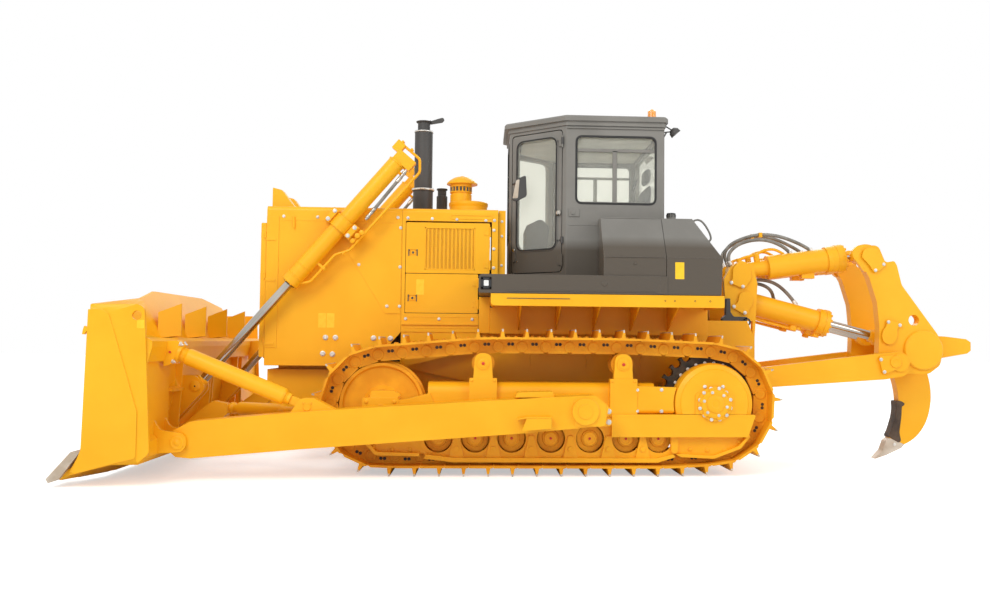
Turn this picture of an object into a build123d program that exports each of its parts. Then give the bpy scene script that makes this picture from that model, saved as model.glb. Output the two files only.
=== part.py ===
"""Track-type bulldozer with a semi-U blade and a single-shank ripper, in millimetres.

X runs from the blade (negative) to the ripper (positive), Y across the machine
(negative is its left side) and Z up from the ground under the shoe grousers.
"""

import os
from math import atan2, cos, degrees, hypot, pi, radians, sin, sqrt

from build123d import *

os.makedirs("parts", exist_ok=True)

# ---------------------------------------------------------------- driving dimensions

GAUGE_HALF = 1070           # centre of a track from the machine's centre plane
SHOE_WIDTH = 560
SHOE_COUNT = 41
SHOE_PLATE = 22
GROUSER = 77                # height of a grouser above its plate
PIN_TO_SHOE = 70            # track pin down to the inside of the shoe plate
LINK_HALF = 63              # track pin up to the rail that the rollers run on
LINK_INNER, LINK_OUTER = 58, 104     # a link's faces, from the middle of the track

SPROCKET = (1350, 688)      # x, z of each axle
SPROCKET_R = 492            # pitch radius
SPROCKET_TEETH = 27
IDLER = (-1809, 648)
IDLER_R = 402
ROLLER_Z = GROUSER + SHOE_PLATE + PIN_TO_SHOE + LINK_HALF + 112
ROLLERS_X = (-1270, -920, -576, -203, 170, 517, 831)
CARRIERS = ((-854, 1053), (480, 1053))
CARRIER_R = 90

TRUNNION = (75, 634)        # pivot of the push arms on the track frames
ARM_INNER, ARM_OUTER = 1425, 1680
BLADE_HALF = 2065
BLADE_BEND = 1350           # where the wings start to run forward
WING_REACH = 210
LIFTING_HOLE = (-3795, 1455)

LIFT_YOKE = (-2275, 2419)   # trunnion of a blade lift cylinder
LIFT_EYE = (-3647, 800)     # its rod's eye on the blade
LIFT_Y = 750

HOOD_HALF = 610
HOOD_FRONT, HOOD_REAR = -3046, -716
HOOD_TOP = 2610

DECK_HALF = 1350
DECK_TOP = 1897
CAB_HALF = 850
CAB_REAR = 955
CAB_TOP = 3440
DOOR_POST_X = -40           # post that carries the door's hinges

BEAM_PIN = (1860, 883)      # ripper beam on the tractor
TOOL_PIN = (3480, 1079)     # ripper beam on the tool carriage
TILT_PINS = ((1856, 2040), (3229, 2227))
HOIST_PINS = ((1900, 1727), (3433, 1341))
RIPPER_CYLINDER_Y = 165
CARRIAGE_INNER, CARRIAGE_OUTER = 320, 440


# ---------------------------------------------------------------- building helpers

def slab(points, y_low, y_high, mode=Mode.ADD):
    """Plate with the side outline points (x, z) between two widths."""
    rounded_slab(points, 0, y_low, y_high, mode)


def rounded_slab(points, radius, y_low, y_high, mode=Mode.ADD):
    """Plate with the side outline points (x, z) and one radius, or one for each corner."""
    with BuildSketch(Plane.XZ.offset(-y_low)) as outline:
        with BuildLine():
            FilletPolyline(*points, radius=radius, close=True)
        make_face()
    extrude(outline.sketch, amount=y_high - y_low, dir=(0, 1, 0), mode=mode)


def prism(points, z_low, z_high, radius=0, mode=Mode.ADD):
    """Upright prism with the plan outline points (x, y)."""
    with BuildSketch(Plane.XY.offset(z_low)) as outline:
        with BuildLine():
            FilletPolyline(*points, radius=radius, close=True)
        make_face()
    extrude(outline.sketch, amount=z_high - z_low, dir=(0, 0, 1), mode=mode)


def front_slab(points, x_low, x_high, mode=Mode.ADD):
    """Plate with the front outline points (y, z) between two lengths."""
    with BuildSketch(Plane.YZ.offset(x_low)) as outline:
        with BuildLine():
            Polyline(*points, close=True)
        make_face()
    extrude(outline.sketch, amount=x_high - x_low, dir=(1, 0, 0), mode=mode)


def block(x_low, x_high, y_low, y_high, z_low, z_high, mode=Mode.ADD):
    """Box between its low and high corner."""
    middle = ((x_low + x_high) / 2, (y_low + y_high) / 2, (z_low + z_high) / 2)
    with Locations(middle):
        Box(x_high - x_low, y_high - y_low, z_high - z_low, mode=mode)


def drum(x, z, radius, y_low, y_high, mode=Mode.ADD):
    """Cylinder across the machine."""
    with Locations(Plane(origin=(x, y_low, z), z_dir=(0, 1, 0))):
        Cylinder(radius, y_high - y_low, align=(Align.CENTER, Align.CENTER, Align.MIN), mode=mode)


def post(x, y, radius, z_low, z_high, mode=Mode.ADD):
    """Upright cylinder."""
    with Locations((x, y, z_low)):
        Cylinder(radius, z_high - z_low, align=(Align.CENTER, Align.CENTER, Align.MIN), mode=mode)


def tube(start, end, radius, mode=Mode.ADD):
    """Cylinder from one point to another."""
    along = Vector(*end) - Vector(*start)
    with Locations(Plane(origin=start, z_dir=along)):
        Cylinder(radius, along.length, align=(Align.CENTER, Align.CENTER, Align.MIN), mode=mode)


def turned(start, end, profile, mode=Mode.ADD):
    """Solid of revolution about the line from start to end; profile lists (distance, radius)."""
    along = (Vector(*end) - Vector(*start)).normalized()
    aside = Vector(0, 1, 0) if abs(along.Y) < 0.9 else Vector(0, 0, 1)
    with BuildSketch(Plane(origin=start, x_dir=along, z_dir=along.cross(aside))) as section:
        with BuildLine():
            Polyline((profile[0][0], 0), *profile, (profile[-1][0], 0), close=True)
        make_face()
    revolve(section.sketch, axis=Axis(start, tuple(along)), mode=mode)


def pipe(points, bend, radius):
    """Round pipe along points (x, y, z) with one bend radius."""
    with BuildLine(mode=Mode.PRIVATE) as path:
        FilletPolyline(*points, radius=bend)
    with BuildSketch(Plane(origin=path.line @ 0, z_dir=path.line % 0)) as section:
        Circle(radius)
    sweep(section.sketch, path=path.line)


def between(start, end, share):
    """Point (x, z) on the line from start to end."""
    return (start[0] + (end[0] - start[0]) * share, start[1] + (end[1] - start[1]) * share)


def save(part, name):
    part.label = name
    export_step(part, f"parts/{name}.step")


def both_sides(part, name):
    """Write the left piece as built and the right one as its mirror image."""
    save(part, f"{name}_left")
    with BuildPart() as right:
        mirror(part, about=Plane.XZ)
    save(right.part, f"{name}_right")


# ---------------------------------------------------------------- main frame

with BuildPart() as main_frame:
    slab([(700, 480), (1900, 480), (1980, 560), (1980, 1320), (1900, 1500), (700, 1500)], -480, 480)
    for side in (-1, 1):
        near, far = sorted((side * 350, side * 470))
        slab([(-2950, 640), (-2850, 560), (700, 560), (700, 960), (-2950, 960)], near, far)
    slab([(-3040, 760), (-2960, 560), (-2760, 560), (-2760, 960), (-3040, 960)], -470, 470)
    block(-1150, -1000, -350, 350, 800, 900)
    block(-1190, -950, -471, 471, 559, 790, mode=Mode.SUBTRACT)
    slab([(-2850, 470), (1500, 470), (1500, 479), (-2850, 479)], -480, 480)
    slab([(-2850, 470), (-2850, 479), (-3040, 569), (-3046, 560)], -480, 480)
    drum(750, 700, 105, -800, 800)
    drum(SPROCKET[0], SPROCKET[1], 380, -860, -480)
    drum(SPROCKET[0], SPROCKET[1], 380, 480, 860)
save(main_frame.part, "main_frame")

with BuildPart() as equalizer_bar:
    rounded_slab([(-1180, 600), (-960, 600), (-960, 760), (-1180, 760)], 25, -890, 890)
save(equalizer_bar.part, "equalizer_bar")

with BuildPart() as engine:
    block(-1950, -750, -300, 300, 961, 2100)
save(engine.part, "engine")

with BuildPart() as radiator:
    block(-2780, -2620, -520, 520, 1080, 2440)
save(radiator.part, "radiator")

# ---------------------------------------------------------------- hood

GUARD_REAR = -1690
WALL = 30
PANEL = 6                   # how far the bolted side panels stand out
HINGE_X, HINGE_Y = -3060, -604       # hinge line of the left grille door
HINGE_HEIGHTS = (1218, 1859, 2269)

with BuildPart() as radiator_guard:
    slab([(HOOD_FRONT, 1000), (GUARD_REAR - 300, 1000), (GUARD_REAR, 1347),
          (GUARD_REAR, HOOD_TOP), (HOOD_FRONT, HOOD_TOP)], -HOOD_HALF, HOOD_HALF)
    fillet(radiator_guard.edges().filter_by(Axis.X).group_by(Axis.Z)[-1], 45)
    slab([(HOOD_FRONT - 1, 999), (GUARD_REAR + 1, 999), (GUARD_REAR + 1, HOOD_TOP - WALL),
          (HOOD_FRONT - 1, HOOD_TOP - WALL)], -HOOD_HALF + WALL, HOOD_HALF - WALL, mode=Mode.SUBTRACT)
    block(HOOD_FRONT, HOOD_FRONT + 90, -HOOD_HALF + WALL, HOOD_HALF - WALL, 2440, HOOD_TOP - WALL)
    block(HOOD_FRONT, HOOD_FRONT + 90, -HOOD_HALF + WALL, HOOD_HALF - WALL, 1000, 1080)
    for side in (-1, 1):
        face, proud = side * HOOD_HALF, side * (HOOD_HALF + PANEL)
        # thick front band with the hinge knuckles, then the bolted panel with its slanted edge
        near, far = sorted((face, proud))
        rounded_slab([(HOOD_FRONT, 1180), (-2925, 1180), (-2925, 2500), (HOOD_FRONT, 2500)], 0, near, far)
        rounded_slab([(-2240, 2160), (-1848, 1532), (GUARD_REAR - 8, 1532), (GUARD_REAR - 8, 2450),
                      (-2050, 2450)], (0, 40, 0, 10, 0), near, far)
        near, far = sorted((side * (HOOD_HALF - 1), side * (HOOD_HALF + 12)))
        for height in HINGE_HEIGHTS:
            rounded_slab([(HOOD_FRONT - 2, height - 12), (-2950, height - 12), (-2950, height + 12),
                          (HOOD_FRONT - 2, height + 12)], (0, 10, 10, 0), near, far)
save(radiator_guard.part, "radiator_guard")

with BuildPart() as hood:
    slab([(GUARD_REAR + 2, 2480), (HOOD_REAR, 2480), (HOOD_REAR, HOOD_TOP),
          (GUARD_REAR + 2, HOOD_TOP)], -HOOD_HALF, HOOD_HALF)
    fillet(hood.edges().filter_by(Axis.X).group_by(Axis.Z)[-1], 45)
    block(GUARD_REAR, HOOD_REAR + 1, -HOOD_HALF + WALL, HOOD_HALF - WALL, 2479,
          HOOD_TOP - WALL, mode=Mode.SUBTRACT)
    for side in (-1, 1):
        near, far = sorted((side * (HOOD_HALF - WALL), side * HOOD_HALF))
        block(-780, HOOD_REAR, near, far, 1900, 2480)
        block(GUARD_REAR + 2, -905, near, far, 1350, 1540)
        block(GUARD_REAR + 2, -1655, near, far, 1540, 2480)
        # ledge of the sill and the slot that lifts the hood's side
        near, far = sorted((side * (HOOD_HALF - 1), side * (HOOD_HALF + 14)))
        block(GUARD_REAR + 2, -905, near, far, 1422, 1436)
        slot_y = side * (HOOD_HALF + 1)
        with BuildSketch(Plane(origin=(-988, slot_y, 2528), x_dir=(1, 0, 0), z_dir=(0, side, 0))) as slot:
            SlotOverall(440, 48)
            SlotOverall(416, 24, mode=Mode.SUBTRACT)
        extrude(slot.sketch, amount=4, both=True)
    post(-1518, -100, 40, HOOD_TOP - WALL, HOOD_TOP - WALL + 5)
save(hood.part, "hood")

# name, x low, x high, z low, z high of the engine side doors
ENGINE_DOORS = (
    ("engine_door_upper", -1650, -800, 1948, 2465),
    ("engine_door_lower", -1650, -915, 1545, 1942),
)
GRILLE = (-1447, -962, 1997, 2405)
SLATS = 12

for name, x_low, x_high, z_low, z_high in ENGINE_DOORS:
    with BuildPart() as engine_door:
        rounded_slab([(x_low, z_low), (x_high, z_low), (x_high, z_high), (x_low, z_high)], 12,
                     -HOOD_HALF, -HOOD_HALF + WALL - 4)
        # hinge knuckles at the rear edge and the recessed latch at the front edge
        for z in (z_low + 90, z_high - 90):
            post(x_high + 2, -HOOD_HALF - 2, 9, z - 50, z + 50)
        latch = (z_low + z_high) / 2 - 50
        block(x_low + 40, x_low + 105, -HOOD_HALF - 1, -HOOD_HALF + 8, latch - 30, latch + 30,
              mode=Mode.SUBTRACT)
        block(x_low + 48, x_low + 97, -HOOD_HALF + 2, -HOOD_HALF + 9, latch - 22, latch + 22)
        if name.endswith("upper"):
            x0, x1, z0, z1 = GRILLE
            rounded_slab([(x0, z0), (x1, z0), (x1, z1), (x0, z1)], 15, -HOOD_HALF - 1, -HOOD_HALF + 12,
                         mode=Mode.SUBTRACT)
            pitch = (x1 - x0) / SLATS
            for index in range(SLATS):
                x = x0 + pitch * (index + 0.5)
                block(x - 8, x + 8, -HOOD_HALF + 4, -HOOD_HALF + 13, z0 + 1, z1 - 1)
    both_sides(engine_door.part, name)

with BuildPart() as grille_door:
    block(HOOD_FRONT - 56, HOOD_FRONT - 4, HINGE_Y, -10, 1085, 2435)
    fillet(grille_door.edges().filter_by(Axis.Y).group_by(Axis.X)[0], 12)
    block(HOOD_FRONT - 57, HOOD_FRONT - 3, HINGE_Y + 70, -80, 1160, 2360, mode=Mode.SUBTRACT)
    bars = 24
    for index in range(bars):
        z = 1160 + 1200 * (index + 0.5) / bars
        block(HOOD_FRONT - 45, HOOD_FRONT - 20, HINGE_Y + 69, -79, z - 9, z + 9)
    for z in HINGE_HEIGHTS:
        post(HINGE_X, HINGE_Y, 12, z + 14, z + 74)
both_sides(grille_door.part, "grille_door")

with BuildPart() as stacks:
    base = HOOD_TOP + 1
    turned((-1518, -100, base), (-1518, -100, 3600),
           [(0, 106), (250, 106), (250, 114), (280, 114), (280, 96), (884, 96), (884, 101), (900, 97),
            (905, 66), (985, 66), (990, 76), (1000, 76), (1012, 40)])
    # counterweight of the rain cap
    rounded_slab([(-1480, 3590), (-1440, 3590), (-1322, 3612), (-1297, 3640), (-1318, 3662),
                  (-1360, 3650), (-1442, 3622), (-1480, 3618)], (0, 0, 14, 14, 14, 0, 0, 0), -116, -84)
    turned((-1330, 250, base), (-1330, 250, 2960),
           [(0, 72), (20, 72), (20, 60), (250, 60), (255, 48), (320, 48), (320, 60), (335, 60)])
save(stacks.part, "stacks")

with BuildPart() as pre_cleaner:
    turned((-1030, -150, HOOD_TOP + 1), (-1030, -150, 2700), [(0, 200), (70, 200), (95, 208), (118, 208),
                                                             (124, 200)])
    turned((-1111, -150, 2730), (-1111, -150, 3000), [(0, 114), (90, 114), (90, 106), (170, 106),
                                                    (170, 118), (201, 118)])
    with BuildSketch(Plane(origin=(-1099, -150, 2930), x_dir=(1, 0, 0), z_dir=(0, -1, 0))) as cap:
        with BuildLine():
            Line((0, 0), (163, 0))
            Line((163, 0), (163, 12))
            ThreePointArc((163, 12), (95, 68), (10, 88))
            Line((10, 88), (0, 88))
            Line((0, 88), (0, 0))
        make_face()
    revolve(cap.sketch, axis=Axis((-1099, -150, 2930), (0, 0, 1)))
save(pre_cleaner.part, "pre_cleaner")

with BuildPart() as lamps:
    for side in (-1, 1):
        # hooded headlamps on the radiator guard
        near, far = sorted((side * 230, side * 400))
        rounded_slab([(-3042, HOOD_TOP + 1), (-2815, HOOD_TOP + 1), (-2870, 2690), (-2950, 2800),
                      (-3042, 2828)], (0, 0, 60, 60, 10), near, far)
        block(-3043, -2960, near + 12, far - 12, HOOD_TOP + 20, 2800, mode=Mode.SUBTRACT)
        turned((-2958, side * 315, 2715), (-3030, side * 315, 2715), [(-4, 60), (20, 66), (52, 66), (60, 58)])
        # work lamps under the roof's rear edge
        near, far = sorted((side * 690, side * 800))
        rounded_slab([(978, 3372), (1050, 3362), (1062, 3440), (978, 3470)], 12, near, far)
        # lamps let into the front ends of the deck's side bands
        near, far = sorted((side * (DECK_HALF - 24), side * (DECK_HALF + 6)))
        rounded_slab([(-880, 1755), (-790, 1755), (-790, 1865), (-880, 1865)], 14, near, far)
save(lamps.part, "lamps")

# ---------------------------------------------------------------- deck, tank and side boxes

RIB_STATIONS = (-500, -120, 260, 640, 1020)

with BuildPart() as fenders:
    for side in (-1, 1):
        near, far = sorted((side * 620, side * DECK_HALF))
        rounded_slab([(-790, 1600), (1440, 1600), (1440, 1715), (-790, 1715)], (40, 10, 0, 0), near, far)
        near, far = sorted((side * 660, side * (DECK_HALF - 25)))
        slab([(-765, 1599), (1415, 1599), (1415, 1690), (-765, 1690)], near, far, mode=Mode.SUBTRACT)
        near, far = sorted((side * 620, side * 660))
        block(-790, 1440, near, far, 1340, 1601)
        for x in RIB_STATIONS:
            inner, outer = side * 659, side * (DECK_HALF - 24)
            front_slab([(inner, 1691), (outer, 1691), (outer, 1640), (inner, 1380)], x - 6, x + 6)
save(fenders.part, "fenders")

with BuildPart() as deck:
    rounded_slab([(-905, 1720), (820, 1720), (820, DECK_TOP), (-905, DECK_TOP)], (20, 0, 0, 35),
                 -DECK_HALF, DECK_HALF)
    block(-906, -640, -HOOD_HALF - 20, HOOD_HALF + 20, 1700, 1900, mode=Mode.SUBTRACT)
    for side in (-1, 1):
        near, far = sorted((side * (DECK_HALF - 24), side * (DECK_HALF + 1)))
        block(-885, -785, near, far, 1750, 1870, mode=Mode.SUBTRACT)
save(deck.part, "deck")

with BuildPart() as fuel_tank:
    slab([(885, 1720), (1412, 1720), (1425, 2075), (1190, 2490), (885, 2490)], -1340, 1340)
    block(800, 960, -CAB_HALF - 10, CAB_HALF + 10, 1700, 2500, mode=Mode.SUBTRACT)
    for side in (-1, 1):
        edge = side * 1340
        front_slab([(edge, 2075), (edge - side * 300, 2500), (edge + side * 10, 2500)], 880, 1480,
                   mode=Mode.SUBTRACT)
    turned((1050, -700, 2489), (1050, -700, 2580), [(0, 62), (22, 62), (22, 48), (80, 48), (89, 40)])
save(fuel_tank.part, "fuel_tank")

with BuildPart() as side_boxes:
    for side in (-1, 1):
        front_slab([(side * 870, DECK_TOP + 1), (side * 1335, DECK_TOP + 1), (side * 1335, 2080),
                    (side * 1050, 2485), (side * 870, 2485)], 280, 880)
    fillet(side_boxes.edges().filter_by(Axis.X).group_by(Axis.Z)[-1], 15)
save(side_boxes.part, "side_boxes")


# ---------------------------------------------------------------- cab

DOOR_TOP, DOOR_LOW = 3410, 1960
DOOR_WIDTH = 650
SHELL = 50


def cab_plan(grow, front=0):
    """Half-hexagon plan of the cab, grown outwards; the doors stand on its slanted corners."""
    corners = [(CAB_REAR + grow, -CAB_HALF - grow), (DOOR_POST_X - grow * 0.4, -CAB_HALF - grow),
               (-600 - front - grow, -380 - grow * 0.4)]
    return corners + [(x, -y) for x, y in reversed(corners)]


DOOR_DIRECTION = Vector(-560, 470, 0).normalized()
DOOR_PLANE = Plane(origin=(DOOR_POST_X, -CAB_HALF, 0), x_dir=DOOR_DIRECTION,
                   z_dir=DOOR_DIRECTION.cross(Vector(0, 0, 1)))
DOOR_MIDDLE = (375, (DOOR_TOP + DOOR_LOW) / 2)
DOOR_WINDOW = (375, 2770)
DOOR_HINGE = (45, -12)      # hinge line: along the door's plane, and out of it
# y-z side windows and x-z rear and front windows: middle, size, corner radius
SIDE_WINDOW = ((460, 2995), (815, 690), 70)
REAR_WINDOW = ((0, 2975), (1440, 740), 70)
FRONT_WINDOW = ((0, 2840), (600, 1040), 60)


def window(plane, data, shrink=0):
    """Rounded window outline on a plane, made smaller by this much all round."""
    middle, size, radius = data
    with BuildSketch(plane) as outline:
        with Locations(middle):
            RectangleRounded(size[0] - 2 * shrink, size[1] - 2 * shrink, radius)
    return outline.sketch


SIDE_PLANE = Plane(origin=(0, 0, 0), x_dir=(1, 0, 0), z_dir=(0, -1, 0))
END_PLANE = Plane(origin=(0, 0, 0), x_dir=(0, 1, 0), z_dir=(1, 0, 0))

with BuildPart() as cab_shell:
    prism(cab_plan(0), DECK_TOP + 1, CAB_TOP, radius=25)
    prism(cab_plan(-SHELL), DECK_TOP + 31, CAB_TOP + 1, mode=Mode.SUBTRACT)
    extrude(window(SIDE_PLANE, SIDE_WINDOW), amount=CAB_HALF + 1, both=True, mode=Mode.SUBTRACT)
    extrude(window(END_PLANE.offset(CAB_REAR - SHELL - 1), REAR_WINDOW), amount=SHELL + 2,
            mode=Mode.SUBTRACT)
    extrude(window(END_PLANE.offset(-601), FRONT_WINDOW), amount=SHELL + 2, mode=Mode.SUBTRACT)
    with BuildSketch(DOOR_PLANE) as doorway:
        with Locations(DOOR_MIDDLE):
            RectangleRounded(DOOR_WIDTH, DOOR_TOP - DOOR_LOW, 40)
    extrude(doorway.sketch, amount=100, both=True, mode=Mode.SUBTRACT)
    with BuildPart(mode=Mode.PRIVATE) as opening:
        extrude(doorway.sketch, amount=100, both=True)
    add(mirror(opening.part, about=Plane.XZ), mode=Mode.SUBTRACT)
save(cab_shell.part, "cab_shell")

with BuildPart() as cab_roof:
    prism(cab_plan(14), CAB_TOP + 1, 3486, radius=40)
    prism(cab_plan(36, 20), 3486, 3543, radius=60)
    chamfer(cab_roof.edges().group_by(Axis.Z)[-1], 16)
    # raised panel of the roof
    prism(cab_plan(-165), 3543, 3556, radius=60)
save(cab_roof.part, "cab_roof")

with BuildPart() as cab_glass:
    for side in (-1, 1):
        plane = Plane(origin=(0, side * (CAB_HALF - 24), 0), x_dir=(1, 0, 0), z_dir=(0, -1, 0))
        extrude(window(plane, SIDE_WINDOW, 1), amount=4, both=True)
    extrude(window(END_PLANE.offset(CAB_REAR - 30), REAR_WINDOW, 1), amount=8)
    extrude(window(END_PLANE.offset(-580), FRONT_WINDOW, 1), amount=8)
save(cab_glass.part, "cab_glass")

with BuildPart() as cab_door:
    with BuildSketch(DOOR_PLANE) as leaf:
        with Locations(DOOR_MIDDLE):
            RectangleRounded(DOOR_WIDTH - 20, DOOR_TOP - DOOR_LOW - 20, 34)
        with Locations(DOOR_WINDOW):
            RectangleRounded(500, 1130, 90, mode=Mode.SUBTRACT)
    extrude(leaf.sketch, amount=40)
    # the window's raised frame, the hinges on the rear edge and the handle on the front edge
    with BuildSketch(DOOR_PLANE.offset(-6)) as frame:
        with Locations(DOOR_WINDOW):
            RectangleRounded(540, 1170, 105)
            RectangleRounded(500, 1130, 90, mode=Mode.SUBTRACT)
    extrude(frame.sketch, amount=7)
    for reach, depth in ((44, 16), (22, 21)):
        with BuildSketch(DOOR_PLANE.offset(-20)) as hinges:
            with Locations(*[(DOOR_HINGE[0] + 44 - reach / 2, z) for z in (2080, 3280)]):
                Rectangle(reach, 90)
        extrude(hinges.sketch, amount=depth)
    for z in (2080, 3280):
        hinge = DOOR_PLANE.from_local_coords(Vector(DOOR_HINGE[0], 0, DOOR_HINGE[1]))
        post(hinge.X, hinge.Y, 10, z - 60, z + 60)
    with BuildSketch(DOOR_PLANE.offset(-16)) as handle:
        with Locations((655, 2160)):
            SlotOverall(150, 34, rotation=90)
    extrude(handle.sketch, amount=17)
both_sides(cab_door.part, "cab_door")

with BuildPart() as door_glass:
    with BuildSketch(DOOR_PLANE.offset(16)) as pane:
        with Locations(DOOR_WINDOW):
            RectangleRounded(498, 1128, 89)
    extrude(pane.sketch, amount=8)
both_sides(door_glass.part, "door_glass")

with BuildPart() as seat:
    block(200, 560, -180, 180, DECK_TOP + 32, 2210)
    rounded_slab([(120, 2210), (690, 2210), (720, 2360), (140, 2380)], (30, 60, 60, 50), -255, 255)
    rounded_slab([(610, 2340), (760, 2340), (860, 2980), (745, 2990)], (20, 40, 40, 50), -240, 240)
    rounded_slab([(760, 2985), (862, 2985), (880, 3160), (790, 3170)], (0, 0, 30, 30), -140, 140)
save(seat.part, "seat")

with BuildPart() as console:
    rounded_slab([(-420, DECK_TOP + 32), (-230, DECK_TOP + 32), (-170, 2470), (-260, 2560),
                  (-420, 2480)], (0, 0, 30, 60, 30), -330, 330)
    for side in (-1, 1):
        near, far = sorted((side * 330, side * 470))
        rounded_slab([(140, DECK_TOP + 32), (620, DECK_TOP + 32), (620, 2560), (80, 2600), (60, 2480)],
                     (0, 0, 30, 40, 40), near, far)
        tube((110, side * 400, 2590), (90, side * 400, 2720), 14)
        with Locations((88, side * 400, 2735)):
            Sphere(28)
save(console.part, "console")

with BuildPart() as beacon:
    turned((858, -640, 3544), (858, -640, 3670), [(0, 52), (14, 52), (20, 44), (112, 40), (126, 24)])
save(beacon.part, "beacon")

with BuildPart() as grab_rails:
    for side in (-1, 1):
        y = side * 1000
        pipe([(1228, y, 2438), (1310, y, 2545), (1500, y, 2240), (1385, y, 2160)], (40, 40), 11)
save(grab_rails.part, "grab_rails")


# ---------------------------------------------------------------- tracks

GROUND_PIN = GROUSER + SHOE_PLATE + PIN_TO_SHOE
IDLER_STEP = 0.487          # angle of one link round the idler, radians
# x, z, radius of the pin line round each wheel, clockwise from the idler
WRAPS = (
    (*IDLER, (IDLER_R + LINK_HALF) / cos(IDLER_STEP / 2)),
    (*CARRIERS[0], CARRIER_R + LINK_HALF + 6),
    (*CARRIERS[1], CARRIER_R + LINK_HALF + 6),
    (*SPROCKET, SPROCKET_R),
    (ROLLERS_X[-1] + 80, ROLLER_Z, ROLLER_Z - GROUND_PIN),
)


def loop_spans():
    """Straight spans and arcs of the pin line: (start, length, heading, curvature)."""
    tangents = []
    for (x0, z0, r0), (x1, z1, r1) in zip(WRAPS, WRAPS[1:] + WRAPS[:1]):
        distance = hypot(x1 - x0, z1 - z0)
        heading = atan2(z1 - z0, x1 - x0) + atan2(r1 - r0, sqrt(distance**2 - (r1 - r0)**2))
        normal = (-sin(heading), cos(heading))
        start = (x0 + normal[0] * r0, z0 + normal[1] * r0)
        end = (x1 + normal[0] * r1, z1 + normal[1] * r1)
        tangents.append((start, end, heading))
    spans = []
    for index, (start, end, heading) in enumerate(tangents):
        spans.append((start, hypot(end[0] - start[0], end[1] - start[1]), heading, 0))
        after = tangents[(index + 1) % len(tangents)]
        turn = (heading - after[2]) % (2 * pi)
        radius = WRAPS[(index + 1) % len(WRAPS)][2]
        spans.append((end, turn * radius, heading, 1 / radius))
    return spans


def pin_points(count):
    """Points spaced evenly along the pin line."""
    spans = loop_spans()
    total = sum(length for _, length, _, _ in spans)
    points = []
    for index in range(count):
        distance = total * index / count
        for start, length, heading, curvature in spans:
            if distance <= length:
                break
            distance -= length
        if curvature:
            turned, radius = heading - distance * curvature, 1 / curvature
            points.append((start[0] + radius * (sin(heading) - sin(turned)),
                           start[1] + radius * (cos(turned) - cos(heading))))
        else:
            points.append((start[0] + distance * cos(heading), start[1] + distance * sin(heading)))
    return points, total


PINS, LOOP_LENGTH = pin_points(SHOE_COUNT)
print(f"track pitch {LOOP_LENGTH / SHOE_COUNT:.1f} mm")


def link_frames():
    """Each link's first pin, direction along the run and outward direction."""
    frames = []
    for start, end in zip(PINS, PINS[1:] + PINS[:1]):
        length = hypot(end[0] - start[0], end[1] - start[1])
        along = ((end[0] - start[0]) / length, (end[1] - start[1]) / length)
        frames.append((start, along, (-along[1], along[0]), length))
    return frames


FRAMES = link_frames()


def ring(height):
    """Closed polygon through points that stand off the pins by this height, outward."""
    points = []
    for (pin, along, out, _), (_, before, out_before, _) in zip(FRAMES, FRAMES[-1:] + FRAMES[:-1]):
        middle = (out[0] + out_before[0], out[1] + out_before[1])
        size = (middle[0]**2 + middle[1]**2) / 2
        points.append((pin[0] + middle[0] / size * height, pin[1] + middle[1] / size * height))
    return points


# share of the link's length and height over the shoe's inside, for the outline of one shoe
SHOE_PROFILE = ((0.005, 9), (0.02, SHOE_PLATE), (0.08, SHOE_PLATE), (0.145, SHOE_PLATE + GROUSER),
                (0.195, SHOE_PLATE + GROUSER), (0.26, SHOE_PLATE), (0.93, SHOE_PLATE), (0.995, 9))
# end of the link, distance past it and height, for the rail side of one link
RAIL_PROFILE = ((0, 20, -30), (0, 20, -LINK_HALF), (1, -20, -LINK_HALF), (1, -20, -30))
BOSS_R, BUSHING_R = 46, 32
LINK_WINDOW = (0.52, 4, 74, 44)      # share along, height, length and width of a link's slot


def run_points(profile):
    """Points along the whole loop: share of each link's length, distance past it, height."""
    points = []
    for pin, along, out, length in FRAMES:
        for share, past, height in profile:
            reach = length * share + past
            points.append((pin[0] + along[0] * reach + out[0] * height,
                           pin[1] + along[1] * reach + out[1] * height))
    return points


def link_chain(y_low, y_high):
    """All the links of one side of the chain: side bars, pin bosses and slots."""
    share, height, long, wide = LINK_WINDOW
    windows = [Location((*point, 0), (0, 0, degrees(atan2(along[1], along[0]))))
               for point, (_, along, _, _) in zip(run_points([(share, 0, height)]), FRAMES)]
    with BuildSketch(Plane.XZ.offset(-y_low)) as bars:
        with BuildLine():
            Polyline(*ring(PIN_TO_SHOE + 1), close=True)
        make_face()
        with BuildLine():
            Polyline(*run_points(RAIL_PROFILE), close=True)
        make_face(mode=Mode.SUBTRACT)
        with Locations(*PINS):
            Circle(BOSS_R)
        with Locations(*windows):
            SlotOverall(long, wide, mode=Mode.SUBTRACT)
    extrude(bars.sketch, amount=y_high - y_low, dir=(0, 1, 0))


with BuildPart() as track:
    low, high = -GAUGE_HALF - SHOE_WIDTH / 2, -GAUGE_HALF + SHOE_WIDTH / 2
    slab(run_points([(share, 0, PIN_TO_SHOE + height) for share, height in SHOE_PROFILE]), low, high)
    slab(ring(PIN_TO_SHOE), low, high, mode=Mode.SUBTRACT)
    link_chain(-GAUGE_HALF + LINK_INNER, -GAUGE_HALF + LINK_OUTER)
    link_chain(-GAUGE_HALF - LINK_OUTER, -GAUGE_HALF - LINK_INNER)
    with BuildSketch(Plane.XZ.offset(GAUGE_HALF + LINK_OUTER + 7)) as bushings:
        with Locations(*PINS):
            Circle(BUSHING_R)
    extrude(bushings.sketch, amount=2 * LINK_OUTER + 14, dir=(0, 1, 0))
both_sides(track.part, "track")

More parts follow.
